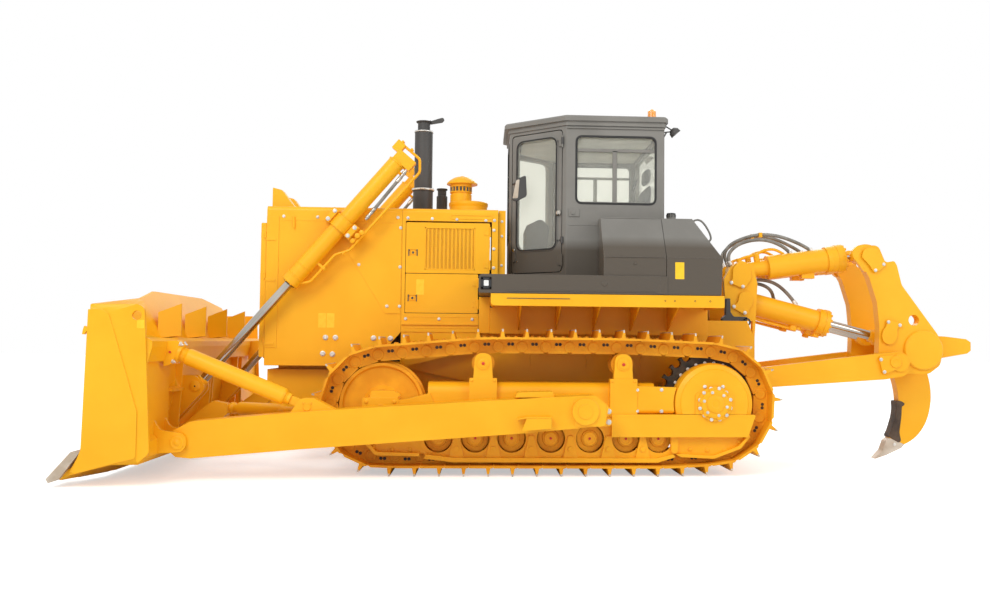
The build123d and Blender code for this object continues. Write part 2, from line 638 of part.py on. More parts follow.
# distance from the wheel's middle and radius, on one side of the middle
IDLER_PROFILE = ((0, IDLER_R + 20), (42, IDLER_R + 20), (50, IDLER_R - 1), (102, IDLER_R - 1),
                 (102, IDLER_R - 30), (70, IDLER_R - 45), (62, 190), (98, 150), (98, 84), (106, 84))
ROLLER_PROFILE = ((0, 98), (54, 98), (54, 111), (107, 111), (107, 126), (122, 126), (122, 82),
                  (134, 76), (134, 40), (140, 36))
CARRIER_PROFILE = ((0, 82), (50, 82), (50, CARRIER_R), (107, CARRIER_R), (107, 108), (118, 108),
                   (118, 78), (124, 74))


def wheel(x, z, middle, profile):
    """Turned wheel, the same on both sides of its middle."""
    both = [(-distance, radius) for distance, radius in reversed(profile)] + list(profile)[1:]
    turned((x, middle, z), (x, middle + 1, z), both)


with BuildPart() as idlers:
    for side in (-1, 1):
        wheel(*IDLER, side * GAUGE_HALF, IDLER_PROFILE)
save(idlers.part, "idlers")

REAR_PIN = max(PINS)
PHASE = atan2(REAR_PIN[1] - SPROCKET[1], REAR_PIN[0] - SPROCKET[0])
TOOTH_TIP_R, TOOTH_GAP_R = 512, 42
with BuildPart() as sprockets:
    for side in (-1, 1):
        middle = side * GAUGE_HALF
        with BuildSketch(Plane.XZ.offset(40 - middle)) as rim:
            with Locations(SPROCKET):
                Circle(TOOTH_TIP_R)
            for tooth in range(SPROCKET_TEETH):
                angle = PHASE + 2 * pi * tooth / SPROCKET_TEETH
                with Locations((SPROCKET[0] + SPROCKET_R * cos(angle), SPROCKET[1] + SPROCKET_R * sin(angle))):
                    Circle(TOOTH_GAP_R, mode=Mode.SUBTRACT)
            with Locations(SPROCKET):
                Circle(345, mode=Mode.SUBTRACT)
        extrude(rim.sketch, amount=80, dir=(0, 1, 0))
        turned((SPROCKET[0], middle - side * 205, SPROCKET[1]), (SPROCKET[0], middle, SPROCKET[1]),
               [(0, 300), (150, 300), (185, 346), (225, 346), (240, 300), (265, 300)])
save(sprockets.part, "sprockets")

# half-round guard in front of the final drive, above the box of the track frame
GUARD_FLOOR = 587
with BuildPart() as final_drives:
    for side in (-1, 1):
        turned((SPROCKET[0], side * 1136, SPROCKET[1]), (SPROCKET[0], side * 1340, SPROCKET[1]),
               [(0, 385), (96, 385), (156, 372), (176, 330), (186, 322)])
        near, far = sorted((side * 1226, side * 1345))
        block(SPROCKET[0] - 400, SPROCKET[0] + 400, near, far, 200, GUARD_FLOOR, mode=Mode.SUBTRACT)
        # bearing cap with its flange
        near, far = sorted((side * 1320, side * 1334))
        rounded_slab([(1165, GUARD_FLOOR + 1), (1535, GUARD_FLOOR + 1), (1535, 790), (1480, 815),
                      (1225, 815), (1165, 770)], (0, 0, 20, 30, 30, 20), near, far)
        turned((SPROCKET[0], side * 1300, SPROCKET[1]), (SPROCKET[0], side * 1400, SPROCKET[1]),
               [(33, 165), (48, 165), (52, 138), (64, 134), (68, 120)])
save(final_drives.part, "final_drives")

# ---------------------------------------------------------------- track frames

FRAME_FACE = -1240          # outer face of the frame's tube
ROLLER_POSTS = [((a + b) / 2, b - a) for a, b in zip(ROLLERS_X, ROLLERS_X[1:])]

with BuildPart() as track_frame:
    slab([(-1372, 470), (790, 470), (790, 872), (-1372, 872)], FRAME_FACE, -900)
    fillet(track_frame.edges().filter_by(Axis.X).group_by(Axis.Z)[-1], 95)
    # cover between the tube and the final drive guard
    slab([(590, 588), (960, 588), (1028, 700), (985, 840), (590, 850)], -1290, FRAME_FACE + 5)
    fillet(track_frame.edges().filter_by(Axis.X).group_by(Axis.Y)[0].sort_by(Axis.Z)[-1:], 40)
    drum(*SPROCKET, 388, -1300, FRAME_FACE + 10, mode=Mode.SUBTRACT)
    # fork that guides the idler, and its bearing block
    rounded_slab([(-1700, 600), (-1700, 700), (-1560, 715), (-1350, 770), (-1300, 640), (-1350, 560)],
                 (0, 0, 30, 0, 0, 40), -1262, -1178)
    rounded_slab([(-1984, 560), (-1642, 560), (-1642, 724), (-1984, 724)], 18, -1272, -1178)
    rounded_slab([(-1915, 720), (-1900, 790), (-1700, 790), (-1620, 755), (-1660, 720)],
                 (0, 20, 20, 10, 0), -1262, -1200)
    # box beam along the frame's lower rear side
    rounded_slab([(367, 369), (1672, 373), (1750, 586), (367, 582)], (0, 10, 15, 0), -1330, -1226)
    rounded_slab([(-1640, 470), (-1640, 560), (-1380, 600), (400, 600), (400, 470)], 0, -1255, FRAME_FACE + 5)
    # roller guard: flanged foot, a web behind the rollers' ends and a folded post between them
    rounded_slab([(-1400, 160), (-1120, 127), (810, 127), (980, 180), (960, 205), (800, 168),
                  (-1110, 168), (-1380, 200)], (0, 30, 30, 0, 0, 30, 30, 0), -1300, -1222)
    rounded_slab([(-1400, 182), (-1120, 150), (810, 150), (960, 195), (960, 480), (-1400, 480)], 0,
                 -1240, -1224)
    for x in ROLLERS_X:
        drum(x, ROLLER_Z, 134, -1241, -1223, mode=Mode.SUBTRACT)
    for x, gap in ROLLER_POSTS:
        rounded_slab([(x - 70, 165), (x + 70, 165), (x + 24, 372), (x - 24, 372)], 0, -1262, -1226)
        drum(x, 250, 24, -1276, -1226)
    slab([(-1420, 187), (790, 187), (790, 470), (-1420, 470)], -930, -900)
    # guards at the idler and at the final drive
    rounded_slab([(-1950, 300), (-1850, 190), (-1440, 182), (-1440, 212), (-1840, 222), (-1920, 320)],
                 (10, 40, 0, 0, 40, 0), -1300, -1226)
    rounded_slab([(-1930, 310), (-1845, 205), (-1400, 200), (-1400, 480), (-1640, 520), (-1800, 420)],
                 (0, 30, 0, 0, 0, 60), -1240, -1226)
    rounded_slab([(985, 205), (1035, 180), (1353, 165), (1610, 262), (1700, 372), (1690, 400),
                  (1590, 285), (1350, 195), (1040, 210)], (0, 10, 60, 60, 0, 0, 60, 60, 0), -1300, -1226)
    rounded_slab([(940, 205), (1353, 185), (1600, 275), (1680, 372), (940, 372)], (0, 60, 60, 0, 0),
                 -1240, -1226)
    rounded_slab([(945, 210), (1012, 210), (1012, 375), (945, 375)], (32, 32, 0, 0), -1268, -1226)
    drum(*TRUNNION, 95, -1420, FRAME_FACE + 1)
    for x, z in CARRIERS:
        # bracket of a carrier roller: bolted block and rounded cap
        rounded_slab([(x - 128, 560), (x + 132, 560), (x + 132, 916), (x - 128, 916)], (0, 0, 8, 8),
                     -1302, -1205)
        rounded_slab([(x - 92, 915), (x + 92, 915), (x + 76, z + 98), (x - 76, z + 98)], (0, 0, 70, 70),
                     -1290, -1205)
        drum(x, z, 58, -1300, -1204)
both_sides(track_frame.part, "track_frame")

with BuildPart() as track_rollers:
    for side in (-1, 1):
        for x in ROLLERS_X:
            wheel(x, ROLLER_Z, side * GAUGE_HALF, ROLLER_PROFILE)
save(track_rollers.part, "track_rollers")

with BuildPart() as carrier_rollers:
    for side in (-1, 1):
        for x, z in CARRIERS:
            wheel(x, z, side * GAUGE_HALF, CARRIER_PROFILE)
save(carrier_rollers.part, "carrier_rollers")


# ---------------------------------------------------------------- blade

# x, z of the moldboard's section at the middle: its face and its back are one arc each
FACE_LOW, FACE_MID, FACE_HIGH = (-4060, 200), (-3800, 900), (-4103, 1719)
BACK_LOW, BACK_MID, BACK_HIGH = (-4037, 185), (-3775, 900), (-4083, 1734)
# y, z of the top edge of half the moldboard, raised in the middle as a spill guard
TOP_EDGE = ((2065, 1547), (BLADE_BEND, 1630), (790, 1719))
# x, z and share of the wing's reach taken by each corner of the torsion beams on the back
UPPER_BEAM = ((-3862, 1268, 1), (-3715, 1268, 0), (-3672, 1238, 0), (-3672, 1185, 0), (-3700, 1060, 0),
              (-3795, 1030, 1))
LOWER_BEAM = ((-3925, 400, 1), (-3740, 420, 0), (-3700, 380, 0), (-3700, 250, 0), (-3765, 190, 0),
              (-4037, 186, 1))
EDGE_SECTION = ((-4300, 41), (-4262, 41), (-4060, 200), (-4088, 226))
EDGE_BAR = ((-4215, 77.9), (-4060, 200), (-4040, 195), (-4040, 150), (-4185, 60))
END_PLATE_INNER, END_PLATE_OUTER, WEAR_PLATE = 2020, 2053, 2065
# corner of the edge that reaches ahead under each end plate
END_BIT = ((-4500, 75), (-4479, 41), (-4393, 76), (-4235, 290), (-4300, 306))
END_BIT_RADII = (0, 10, 0, 0, 12)
END_BIT_INNER = 1704
ARM_LUG_PIN = (-3536, 345)
STRUT_BALL = (-3276, 900, 595)
STRUT_BRACKET_X = -3302
STRUT_FOOT = (-2545, 600)
BRACE_HEAD, BRACE_FOOT = (-3610, 1141), (-2430, 658)
BRACE_Y = 1555


def moldboard_section(y, shift):
    """Closed curved section of the moldboard's skin in the plane of this width."""
    with BuildSketch(Plane.XZ.offset(-y)) as section:
        with BuildLine():
            ThreePointArc(*[(x + shift, z) for x, z in (FACE_LOW, FACE_MID, FACE_HIGH)])
            Line((FACE_HIGH[0] + shift, FACE_HIGH[1]), (BACK_HIGH[0] + shift, BACK_HIGH[1]))
            ThreePointArc(*[(x + shift, z) for x, z in (BACK_HIGH, BACK_MID, BACK_LOW)])
            Line((BACK_LOW[0] + shift, BACK_LOW[1]), (FACE_LOW[0] + shift, FACE_LOW[1]))
        make_face()
    return section.sketch


def straight_section(corners, y, shift):
    """Closed section with straight sides whose corners may move forward with the wing."""
    with BuildSketch(Plane.XZ.offset(-y)) as section:
        with BuildLine():
            Polyline(*[(x + shift * share, z) for x, z, share in corners], close=True)
        make_face()
    return section.sketch


def across_blade(section, half):
    """Straight middle and two wings of a section that runs along the blade."""
    extrude(section(-BLADE_BEND, 0), amount=2 * BLADE_BEND, dir=(0, 1, 0))
    shift = -WING_REACH * (half - BLADE_BEND) / (END_PLATE_INNER - BLADE_BEND)
    for side in (-1, 1):
        loft([section(side * BLADE_BEND, 0).face(), section(side * half, shift).face()])


def fixed(corners):
    """The same corners, all moving with the wing."""
    return [(x, z, 1) for x, z in corners]


def rib(y):
    """Folded gusset between the back of the moldboard and the top of the upper beam."""
    with BuildSketch(Plane.YZ.offset(-3845)) as foot:
        with Locations((y, 1385)):
            Rectangle(330, 234)
    with BuildSketch(Plane.YZ.offset(-3683)) as ridge:
        with Locations((y, 1440)):
            Rectangle(16, 300)
    loft([foot.sketch.face(), ridge.sketch.face()])


with BuildPart() as blade:
    across_blade(moldboard_section, END_PLATE_INNER)
    with BuildSketch(Plane.YZ.offset(-4400)) as above:
        with BuildLine():
            Polyline(*[(-y, z) for y, z in TOP_EDGE], *reversed(TOP_EDGE), (2065, 1800), (-2065, 1800),
                     close=True)
        make_face()
    extrude(above.sketch, amount=900, dir=(1, 0, 0), mode=Mode.SUBTRACT)
    for corners in (UPPER_BEAM, LOWER_BEAM):
        across_blade(lambda y, shift: straight_section(corners, y, shift), END_PLATE_INNER)
    across_blade(lambda y, shift: straight_section(fixed(EDGE_BAR), y, shift), END_PLATE_INNER)
    for y in (-1200, -400, 400, 1200):
        rib(y)
    for side in (-1, 1):
        near, far = sorted((side * END_PLATE_INNER, side * END_PLATE_OUTER))
        rounded_slab([(-4182, 1547), (-3735, 1552), (-3663, 288), (-3765, 200), (-3960, 194),
                      (-4330, 100), (-4217, 321)], (8, 70, 60, 60, 0, 20, 10), near, far)
        near, far = sorted((side * END_PLATE_OUTER, side * WEAR_PLATE))
        rounded_slab([(-4196, 1503), (-4040, 1506), (-3985, 1340), (-3770, 640), (-3770, 250),
                      (-3960, 204), (-4300, 110), (-4223, 321)], (5, 70, 0, 30, 20, 0, 20, 10), near, far)
        # pads on the leading edge
        near, far = sorted((side * (END_PLATE_INNER + 3), side * WEAR_PLATE))
        slab([(-4224, 1290), (-4185, 1340), (-4224, 1362), (-4234, 1330), (-4240, 1290)], near, far)
        near, far = sorted((side * (END_PLATE_INNER - 10), side * (WEAR_PLATE + 10)))
        drum(*LIFTING_HOLE, 40, near, far, mode=Mode.SUBTRACT)
        # closed box behind each wing, and the plate between the two beams
        near, far = sorted((side * 1330, side * END_PLATE_INNER))
        slab([(-3960, 390), (-3740, 390), (-3740, 1080), (-3960, 1080)], near, far)
        for y in (30, 1010):
            near, far = sorted((side * y, side * (y + 30)))
            slab([(-3900, 395), (-3740, 395), (-3705, 1065), (-3800, 1065)], near, far)
        near, far = sorted((side * 1040, side * 1330))
        slab([(-3790, 790), (-3700, 770), (-3695, 795), (-3790, 815)], near, far)
        # seat of the end bit
        near, far = sorted((side * END_BIT_INNER, side * (WEAR_PLATE + 10)))
        rounded_slab(END_BIT, END_BIT_RADII, near, far, mode=Mode.SUBTRACT)
save(blade.part, "blade")

# brackets that stand on the back of the blade
with BuildPart() as blade_lugs:
    for side in (-1, 1):
        # clevis of the lift cylinder's rod
        for y in (LIFT_Y - 95, LIFT_Y + 50):
            near, far = sorted((side * y, side * (y + 45)))
            rounded_slab([(-3940, 430), (-3860, 430), (-3535, 790), (-3650, 905), (-3850, 905)],
                         (0, 40, 70, 70, 0), near, far)
        # lugs that hold the push arm
        for y in (ARM_INNER - 43, ARM_OUTER + 3):
            near, far = sorted((side * y, side * (y + 40)))
            rounded_slab([(-3700, 250), (-3700, 380), (-3740, 420), (-3740, 540), (-3690, 455),
                          (-3460, 425), (-3460, 265)], (0, 0, 0, 0, 80, 75, 75), near, far)
            drum(*ARM_LUG_PIN, 42, near - 2, far + 2)
        # bracket of the diagonal strut
        near, far = sorted((side * 845, side * 955))
        rounded_slab([(-3700, 250), (-3700, 380), (-3740, 420), (-3560, 580), (-3440, 668),
                      (STRUT_BRACKET_X, 640), (STRUT_BRACKET_X, 545), (-3560, 330)], (0, 0, 0, 0, 30, 30, 20, 60), near, far)
        # socket of the brace
        near, far = sorted((side * (BRACE_Y - 75), side * (BRACE_Y + 75)))
        rounded_slab([(-3672, 1238), (-3672, 1185), (-3700, 1060), (-3700, 1010), (-3628, 1036),
                      (-3552, 1221), (-3590, 1245)], (0, 0, 0, 0, 8, 8, 20), near, far)
        drum(-3645, 1140, 9, near - 4, far + 4)
    # the clevis plates end on the curved back of the moldboard
    with BuildSketch(Plane.XZ.offset(1000)) as moldboard:
        with BuildLine():
            ThreePointArc(BACK_LOW, BACK_MID, BACK_HIGH)
            Polyline(BACK_HIGH, (-4500, 1734), (-4500, 185), BACK_LOW)
        make_face()
    extrude(moldboard.sketch, amount=2000, dir=(0, 1, 0), mode=Mode.SUBTRACT)
save(blade_lugs.part, "blade_lugs")

with BuildPart() as cutting_edges:
    extrude(straight_section(fixed(EDGE_SECTION), -BLADE_BEND, 0), amount=2 * BLADE_BEND, dir=(0, 1, 0))
    for side in (-1, 1):
        shift = -WING_REACH * (1700 - BLADE_BEND) / (END_PLATE_INNER - BLADE_BEND)
        loft([straight_section(fixed(EDGE_SECTION), side * BLADE_BEND, 0).face(),
              straight_section(fixed(EDGE_SECTION), side * 1700, shift).face()])
        near, far = sorted((side * END_BIT_INNER, side * WEAR_PLATE))
        rounded_slab(END_BIT, END_BIT_RADII, near, far)
save(cutting_edges.part, "cutting_edges")

with BuildPart() as push_arms:
    for side in (-1, 1):
        near, far = sorted((side * ARM_INNER, side * ARM_OUTER))
        rounded_slab([(-3630, 280), (-3560, 215), (-3432, 203), (-2478, 286), (-517, 432), (-28, 478),
                      (261, 510), (291, 688), (165, 780), (-336, 755), (-2478, 618), (-3441, 528),
                      (-3600, 440)], (30, 30, 0, 0, 0, 0, 60, 60, 60, 0, 0, 40, 60), near, far)
        drum(*ARM_LUG_PIN, 100, near, far)
        # pocket and two cheeks that carry the brace's foot
        near, far = sorted((side * (BRACE_Y - 27), side * (BRACE_Y + 27)))
        drum(*BRACE_FOOT, 64, near, far, mode=Mode.SUBTRACT)
        for y in (BRACE_Y - 62, BRACE_Y + 26):
            near, far = sorted((side * y, side * (y + 36)))
            rounded_slab([(-2580, 606), (-2490, 735), (-2370, 735), (-2180, 636)], (0, 60, 60, 0), near, far)
        near, far = sorted((side * (BRACE_Y + 60), side * (BRACE_Y + 66)))
        drum(*BRACE_FOOT, 34, near, far)
        # saddle that the arm's rear end clamps on the trunnion
        near, far = sorted((side * (ARM_OUTER - 1), side * (ARM_OUTER + 35)))
        drum(*TRUNNION, 120, near, far)
        drum(*TRUNNION, 66, near - 6, far + 6)
        near, far = sorted((side * (ARM_INNER + 20), side * (ARM_OUTER - 40)))
        slab([(-560, 755), (-540, 800), (-220, 810), (-200, 757)], near, far)
save(push_arms.part, "push_arms")

with BuildPart() as blade_braces:
    for side in (-1, 1):
        y = side * BRACE_Y
        head, foot = (BRACE_HEAD[0] + 22, y, BRACE_HEAD[1] - 8), (BRACE_FOOT[0], y, BRACE_FOOT[1])
        # capped head, tube, and the narrower screw with its eye
        turned(head, foot, [(0, 88), (26, 88), (34, 62), (70, 62), (90, 76), (1010, 76), (1028, 66),
                            (1032, 50), (1080, 50)])
        drum(*BRACE_FOOT, 58, y - 24, y + 24)
        neck_x, neck_z = between(BRACE_HEAD, BRACE_FOOT, 0.85)
        rounded_slab([(neck_x, neck_z - 38), (neck_x, neck_z + 38), (BRACE_FOOT[0], BRACE_FOOT[1] + 42),
                      (BRACE_FOOT[0], BRACE_FOOT[1] - 42)], 0, y - 24, y + 24)
        # diagonal strut between the blade's bracket and the arm's inner face
        near, far = sorted((side * 850, side * 950))
        block(STRUT_BRACKET_X, STRUT_BALL[0], near, far, 550, 635)
        ball = (STRUT_BALL[0], side * STRUT_BALL[1], STRUT_BALL[2])
        socket = (STRUT_FOOT[0], side * (ARM_INNER - 24), STRUT_FOOT[1])
        turned(ball, socket, [(0, 30), (12, 58), (34, 58), (60, 44), (110, 44), (130, 64), (680, 64),
                              (740, 46), (850, 46)])
        near, far = sorted((side * (ARM_INNER - 62), side * ARM_INNER))
        block(STRUT_FOOT[0] - 60, STRUT_FOOT[0] + 60, near, far, STRUT_FOOT[1] - 75, STRUT_FOOT[1])
save(blade_braces.part, "blade_braces")

# ---------------------------------------------------------------- blade lift cylinders

LIFT_SPAN = hypot(LIFT_EYE[0] - LIFT_YOKE[0], LIFT_EYE[1] - LIFT_YOKE[1])
LIFT_ALONG = ((LIFT_EYE[0] - LIFT_YOKE[0]) / LIFT_SPAN, (LIFT_EYE[1] - LIFT_YOKE[1]) / LIFT_SPAN)
LIFT_BORE_R, LIFT_BARREL_R, LIFT_ROD_R = 50, 88, 45


def lift_point(distance, aside=0, y=-LIFT_Y):
    """Point by the lift cylinder: distance from its yoke to the eye, and to its lower rear side."""
    x, z = between(LIFT_YOKE, LIFT_EYE, distance / LIFT_SPAN)
    return (x - LIFT_ALONG[1] * aside, y, z + LIFT_ALONG[0] * aside)


def along_lift(start, end, near, far, y_low, y_high):
    """Box that lies along the lift cylinder."""
    corners = [lift_point(*corner) for corner in ((start, near), (end, near), (end, far), (start, far))]
    rounded_slab([(x, z) for x, _, z in corners], 6, y_low, y_high)


with BuildPart() as lift_barrel:
    # barrel with its end cover, the band at the yoke and the rod's gland
    turned(lift_point(0), lift_point(1), [(-838, 70), (-822, 84), (-60, 84), (-60, 102), (60, 102), (60, 84),
                                          (690, 84), (690, 92), (776, 92), (784, 80)])
    tube(lift_point(-780), lift_point(790), LIFT_BORE_R, mode=Mode.SUBTRACT)
    # yoke: cross plate on its pivot, with a bolted cheek at each side of the barrel
    along_lift(-85, 85, -175, 175, -LIFT_Y + 88, -LIFT_Y + 126)
    for side in (-1, 1):
        near, far = sorted((side * 96, side * 162))
        along_lift(-80, 80, near, far, -LIFT_Y - 40, -LIFT_Y + 90)
        along_lift(-74, 74, near + 6, far - 6, -LIFT_Y - 62, -LIFT_Y - 38)
    drum(*LIFT_YOKE, 110, -LIFT_Y + 120, -HOOD_HALF - PANEL - 2)
    # valve block on the end cover and the pipe down to the gland
    along_lift(-1012, -905, -135, -40, -LIFT_Y - 40, -LIFT_Y + 40)
    along_lift(-945, -832, -60, 150, -LIFT_Y - 45, -LIFT_Y + 45)
    pipe([lift_point(*corner) for corner in ((-1000, -60), (-1000, 150), (-900, 236), (150, 228), (280, 150),
                                             (640, 145), (715, 85))], (50, 60, 60, 60, 60), 14)
    along_lift(440, 465, 80, 170, -LIFT_Y - 20, -LIFT_Y + 20)
both_sides(lift_barrel.part, "lift_barrel")

with BuildPart() as lift_rod:
    tube(lift_point(330), lift_point(LIFT_SPAN - 40), LIFT_ROD_R)
    drum(*LIFT_EYE, 75, -LIFT_Y - 45, -LIFT_Y + 45)
    drum(*LIFT_EYE, 34, -LIFT_Y - 45, -LIFT_Y + 45, mode=Mode.SUBTRACT)
both_sides(lift_rod.part, "lift_rod")


# ---------------------------------------------------------------- ripper

BEAM_INNER, BEAM_OUTER = 500, 600
CARRIAGE_BORE = (3709, 1528)

with BuildPart() as ripper_bracket:
    for side in (-1, 1):
        near, far = sorted((side * 330, side * 400))
        rounded_slab([(1981, 1150), (1981, 1500), (1700, 1501), (1676, 1940), (1740, 2060), (1856, 2146),
                      (1990, 2090), (2035, 1900), (2020, 1600), (1992, 1150)],
                     (0, 0, 0, 60, 0, 90, 90, 120, 0, 0), near, far)
        # teardrop keepers of the two pins
        near, far = sorted((side * 399, side * 418))
        for x, z in (TILT_PINS[0], HOIST_PINS[0]):
            rounded_slab([(x - 62, z + 10), (x - 30, z + 62), (x + 62, z + 30), (x + 42, z - 62),
                          (x - 34, z - 62)], (20, 40, 40, 40, 20), near, far)
        rounded_slab([(1690, 1500), (1690, 1640), (1720, 1640), (1720, 1530), (1900, 1530), (1900, 1500)],
                     (0, 0, 0, 10, 0, 0), *sorted((side * 399, side * 470)))
    drum(*TILT_PINS[0], 45, -330, 330)
    drum(*HOIST_PINS[0], 45, -330, 330)
save(ripper_bracket.part, "ripper_bracket")

with BuildPart() as ripper_beam:
    for side in (-1, 1):
        near, far = sorted((side * BEAM_INNER, side * BEAM_OUTER))
        rounded_slab([(1760, 790), (3330, 905), (3570, 950), (3600, 1130), (3500, 1195), (3270, 1172),
                      (1760, 985)], (95, 60, 90, 70, 70, 0, 95), near, far)
        # keeper of the rear pin and the boss of the front pivot
        near, far = sorted((side * (BEAM_OUTER - 1), side * (BEAM_OUTER + 22)))
        drum(*TOOL_PIN, 92, near, far)
        drum(*BEAM_PIN, 62, near, far)
    block(2250, 2400, -BEAM_INNER, BEAM_INNER, 850, 1000)
    for side in (-1, 1):
        prism([(2399, side * 250), (2399, side * 501), (2800, side * 501)], 870, 985)
save(ripper_beam.part, "ripper_beam")

with BuildPart() as ripper_pin:
    drum(*TOOL_PIN, 60, -480, 480)
save(ripper_pin.part, "ripper_pin")

# side plates of the tool carriage
with BuildPart() as ripper_carriage_plates:
    for side in (-1, 1):
        near, far = sorted((side * CARRIAGE_INNER, side * CARRIAGE_OUTER))
        rounded_slab([(3120, 2170), (3175, 2322), (3330, 2318), (3405, 2138), (3503, 2158), (3531, 2108),
                      (3581, 1901), (3971, 1374), (4020, 1200), (3990, 1050), (3869, 961), (3390, 961),
                      (3323, 1168), (3335, 1450), (3311, 1713), (3227, 1981)],
                     (70, 70, 70, 40, 30, 0, 120, 100, 150, 80, 80, 90, 80, 200, 200, 150), near, far)
        drum(*TOOL_PIN, 61, near, far, mode=Mode.SUBTRACT)
        drum(*CARRIAGE_BORE, 57, near, far, mode=Mode.SUBTRACT)
        # keeper plates of the cylinders' pins
        near, far = sorted((side * (CARRIAGE_OUTER - 1), side * (CARRIAGE_OUTER + 18)))
        for x, z in (TILT_PINS[1], HOIST_PINS[1]):
            rounded_slab([(x - 66, z - 10), (x - 20, z - 66), (x + 66, z - 20), (x + 30, z + 66),
                          (x - 40, z + 60)], (30, 40, 30, 50, 30), near, far)
        drum(3809, 1200, 105, near, far)
save(ripper_carriage_plates.part, "ripper_carriage_plates")

# shank pocket between the plates, with the block that a pushing machine bears on
with BuildPart() as ripper_carriage:
    rounded_slab([(3600, 1000), (3960, 1000), (3960, 1330), (3900, 1400), (3600, 1400)],
                 (20, 40, 0, 0, 20), -CARRIAGE_INNER, CARRIAGE_INNER)
    rounded_slab([(3800, 1380), (4208, 1362), (4448, 1335), (4500, 1300), (4500, 1210), (4459, 1177),
                  (3800, 1060)], (0, 30, 20, 0, 0, 20, 0), -110, 110)
    block(3640, 4070, -61, 61, 900, 1401, mode=Mode.SUBTRACT)
    for side in (-1, 1):
        slab([(3960, 1040), (4060, 1080), (4060, 1300), (3960, 1320)], *sorted((side * 62, side * 180)))
save(ripper_carriage.part, "ripper_carriage")

with BuildPart() as ripper_shank:
    with BuildSketch(Plane.XZ.offset(-60)) as outline:
        with BuildLine():
            Polyline((3650, 923), (3650, 1400), (3950, 1400), (4037, 925))
            Spline((4037, 925), (4067, 699), (3966, 345), (3763, 178))
            Line((3763, 178), (3600, 246))
            Spline((3600, 246), (3690, 480), (3700, 700), (3650, 923))
        make_face()
    extrude(outline.sketch, amount=120, dir=(0, -1, 0))
save(ripper_shank.part, "ripper_shank")

with BuildPart() as ripper_tooth:
    rounded_slab([(3436, 20), (3560, 60), (3732, 139), (3763, 177), (3600, 245), (3560, 215),
                  (3520, 110)], (0, 60, 0, 0, 0, 20, 60), -60, 60)
save(ripper_tooth.part, "ripper_tooth")


def ripper_cylinder(name, pins, barrel_profile, depth, rod_start, rod_radius):
    """Pair of equal cylinders: barrels on the tractor and rods on the carriage."""
    start, end = pins
    length = hypot(end[0] - start[0], end[1] - start[1])
    with BuildPart() as barrels:
        for y in (-RIPPER_CYLINDER_Y, RIPPER_CYLINDER_Y):
            foot, eye = (start[0], y, start[1]), (end[0], y, end[1])
            turned(foot, eye, barrel_profile)
            drum(*start, 85, y - 100, y + 100)
            drum(*start, 48, y - 150, y + 150, mode=Mode.SUBTRACT)
            turned(foot, eye, [(depth, rod_radius + 5), (barrel_profile[-1][0] + 1, rod_radius + 5)],
                   mode=Mode.SUBTRACT)
    save(barrels.part, f"{name}_barrels")
    with BuildPart() as rods:
        for y in (-RIPPER_CYLINDER_Y, RIPPER_CYLINDER_Y):
            foot, eye = (start[0], y, start[1]), (end[0], y, end[1])
            turned(foot, eye, [(rod_start, rod_radius), (length - 110, rod_radius), (length - 90, 70),
                               (length - 40, 70)])
            drum(*end, 90, y - 60, y + 60)
            drum(*end, 44, y - 61, y + 61, mode=Mode.SUBTRACT)
    save(rods.part, f"{name}_rods")


# distance from the foot's pin and radius of each barrel, from its neck to its gland
ripper_cylinder("tilt", TILT_PINS, ((60, 78), (346, 85), (352, 128), (1000, 128), (1000, 144), (1140, 144),
                                    (1150, 134)), 360, 555, 50)
ripper_cylinder("hoist", HOIST_PINS, ((60, 110), (130, 118), (880, 118), (880, 130), (965, 130),
                                      (972, 122)), 150, 505, 50)
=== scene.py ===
"""Looks of the track-type bulldozer: camera, light, materials and small parts, over its CAD frame."""

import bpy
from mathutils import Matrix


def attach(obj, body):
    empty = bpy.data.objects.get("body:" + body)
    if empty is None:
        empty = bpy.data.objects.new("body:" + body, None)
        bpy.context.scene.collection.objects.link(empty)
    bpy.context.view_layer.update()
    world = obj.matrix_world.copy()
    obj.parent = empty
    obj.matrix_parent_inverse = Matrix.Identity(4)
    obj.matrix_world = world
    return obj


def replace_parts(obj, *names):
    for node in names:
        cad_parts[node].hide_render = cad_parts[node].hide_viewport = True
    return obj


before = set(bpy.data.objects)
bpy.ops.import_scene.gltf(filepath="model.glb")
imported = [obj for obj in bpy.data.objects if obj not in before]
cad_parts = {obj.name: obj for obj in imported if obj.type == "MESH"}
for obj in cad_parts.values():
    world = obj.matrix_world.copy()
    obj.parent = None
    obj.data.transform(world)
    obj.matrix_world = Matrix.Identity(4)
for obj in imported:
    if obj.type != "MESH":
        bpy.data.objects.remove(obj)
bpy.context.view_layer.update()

from math import atan2, cos, exp, hypot, pi, radians, sin, sqrt

import bmesh
import bpy
from mathutils import Matrix, Vector

MM = 0.001
TRACTOR, BLADE = "tractor", "blade"

# -------- camera

YAW, PITCH, ROLL = radians(3.33), radians(2.77), radians(0.54)
CAMERA_PLACE = (-0.870, -10.377, 1.266)
across = Vector((cos(YAW), -sin(YAW), 0))
ahead_flat = Vector((sin(YAW), cos(YAW), 0))
up = Vector((0, 0, 1))
ahead = ahead_flat * cos(PITCH) + up * sin(PITCH)
upward = -ahead_flat * sin(PITCH) + up * cos(PITCH)
camera_x = across * cos(ROLL) + upward * sin(ROLL)
camera_y = -across * sin(ROLL) + upward * cos(ROLL)
lens = bpy.data.cameras.new("camera")
lens.lens, lens.sensor_width, lens.shift_x = 34.87, 36.0, -0.0435
camera = bpy.data.objects.new("camera", lens)
camera.matrix_world = Matrix([(camera_x[i], camera_y[i], -ahead[i], CAMERA_PLACE[i]) for i in range(3)]
                             + [(0, 0, 0, 1)])
bpy.context.scene.collection.objects.link(camera)
bpy.context.scene.camera = camera
bpy.context.scene.view_settings.view_transform = "Standard"

# -------- light and background


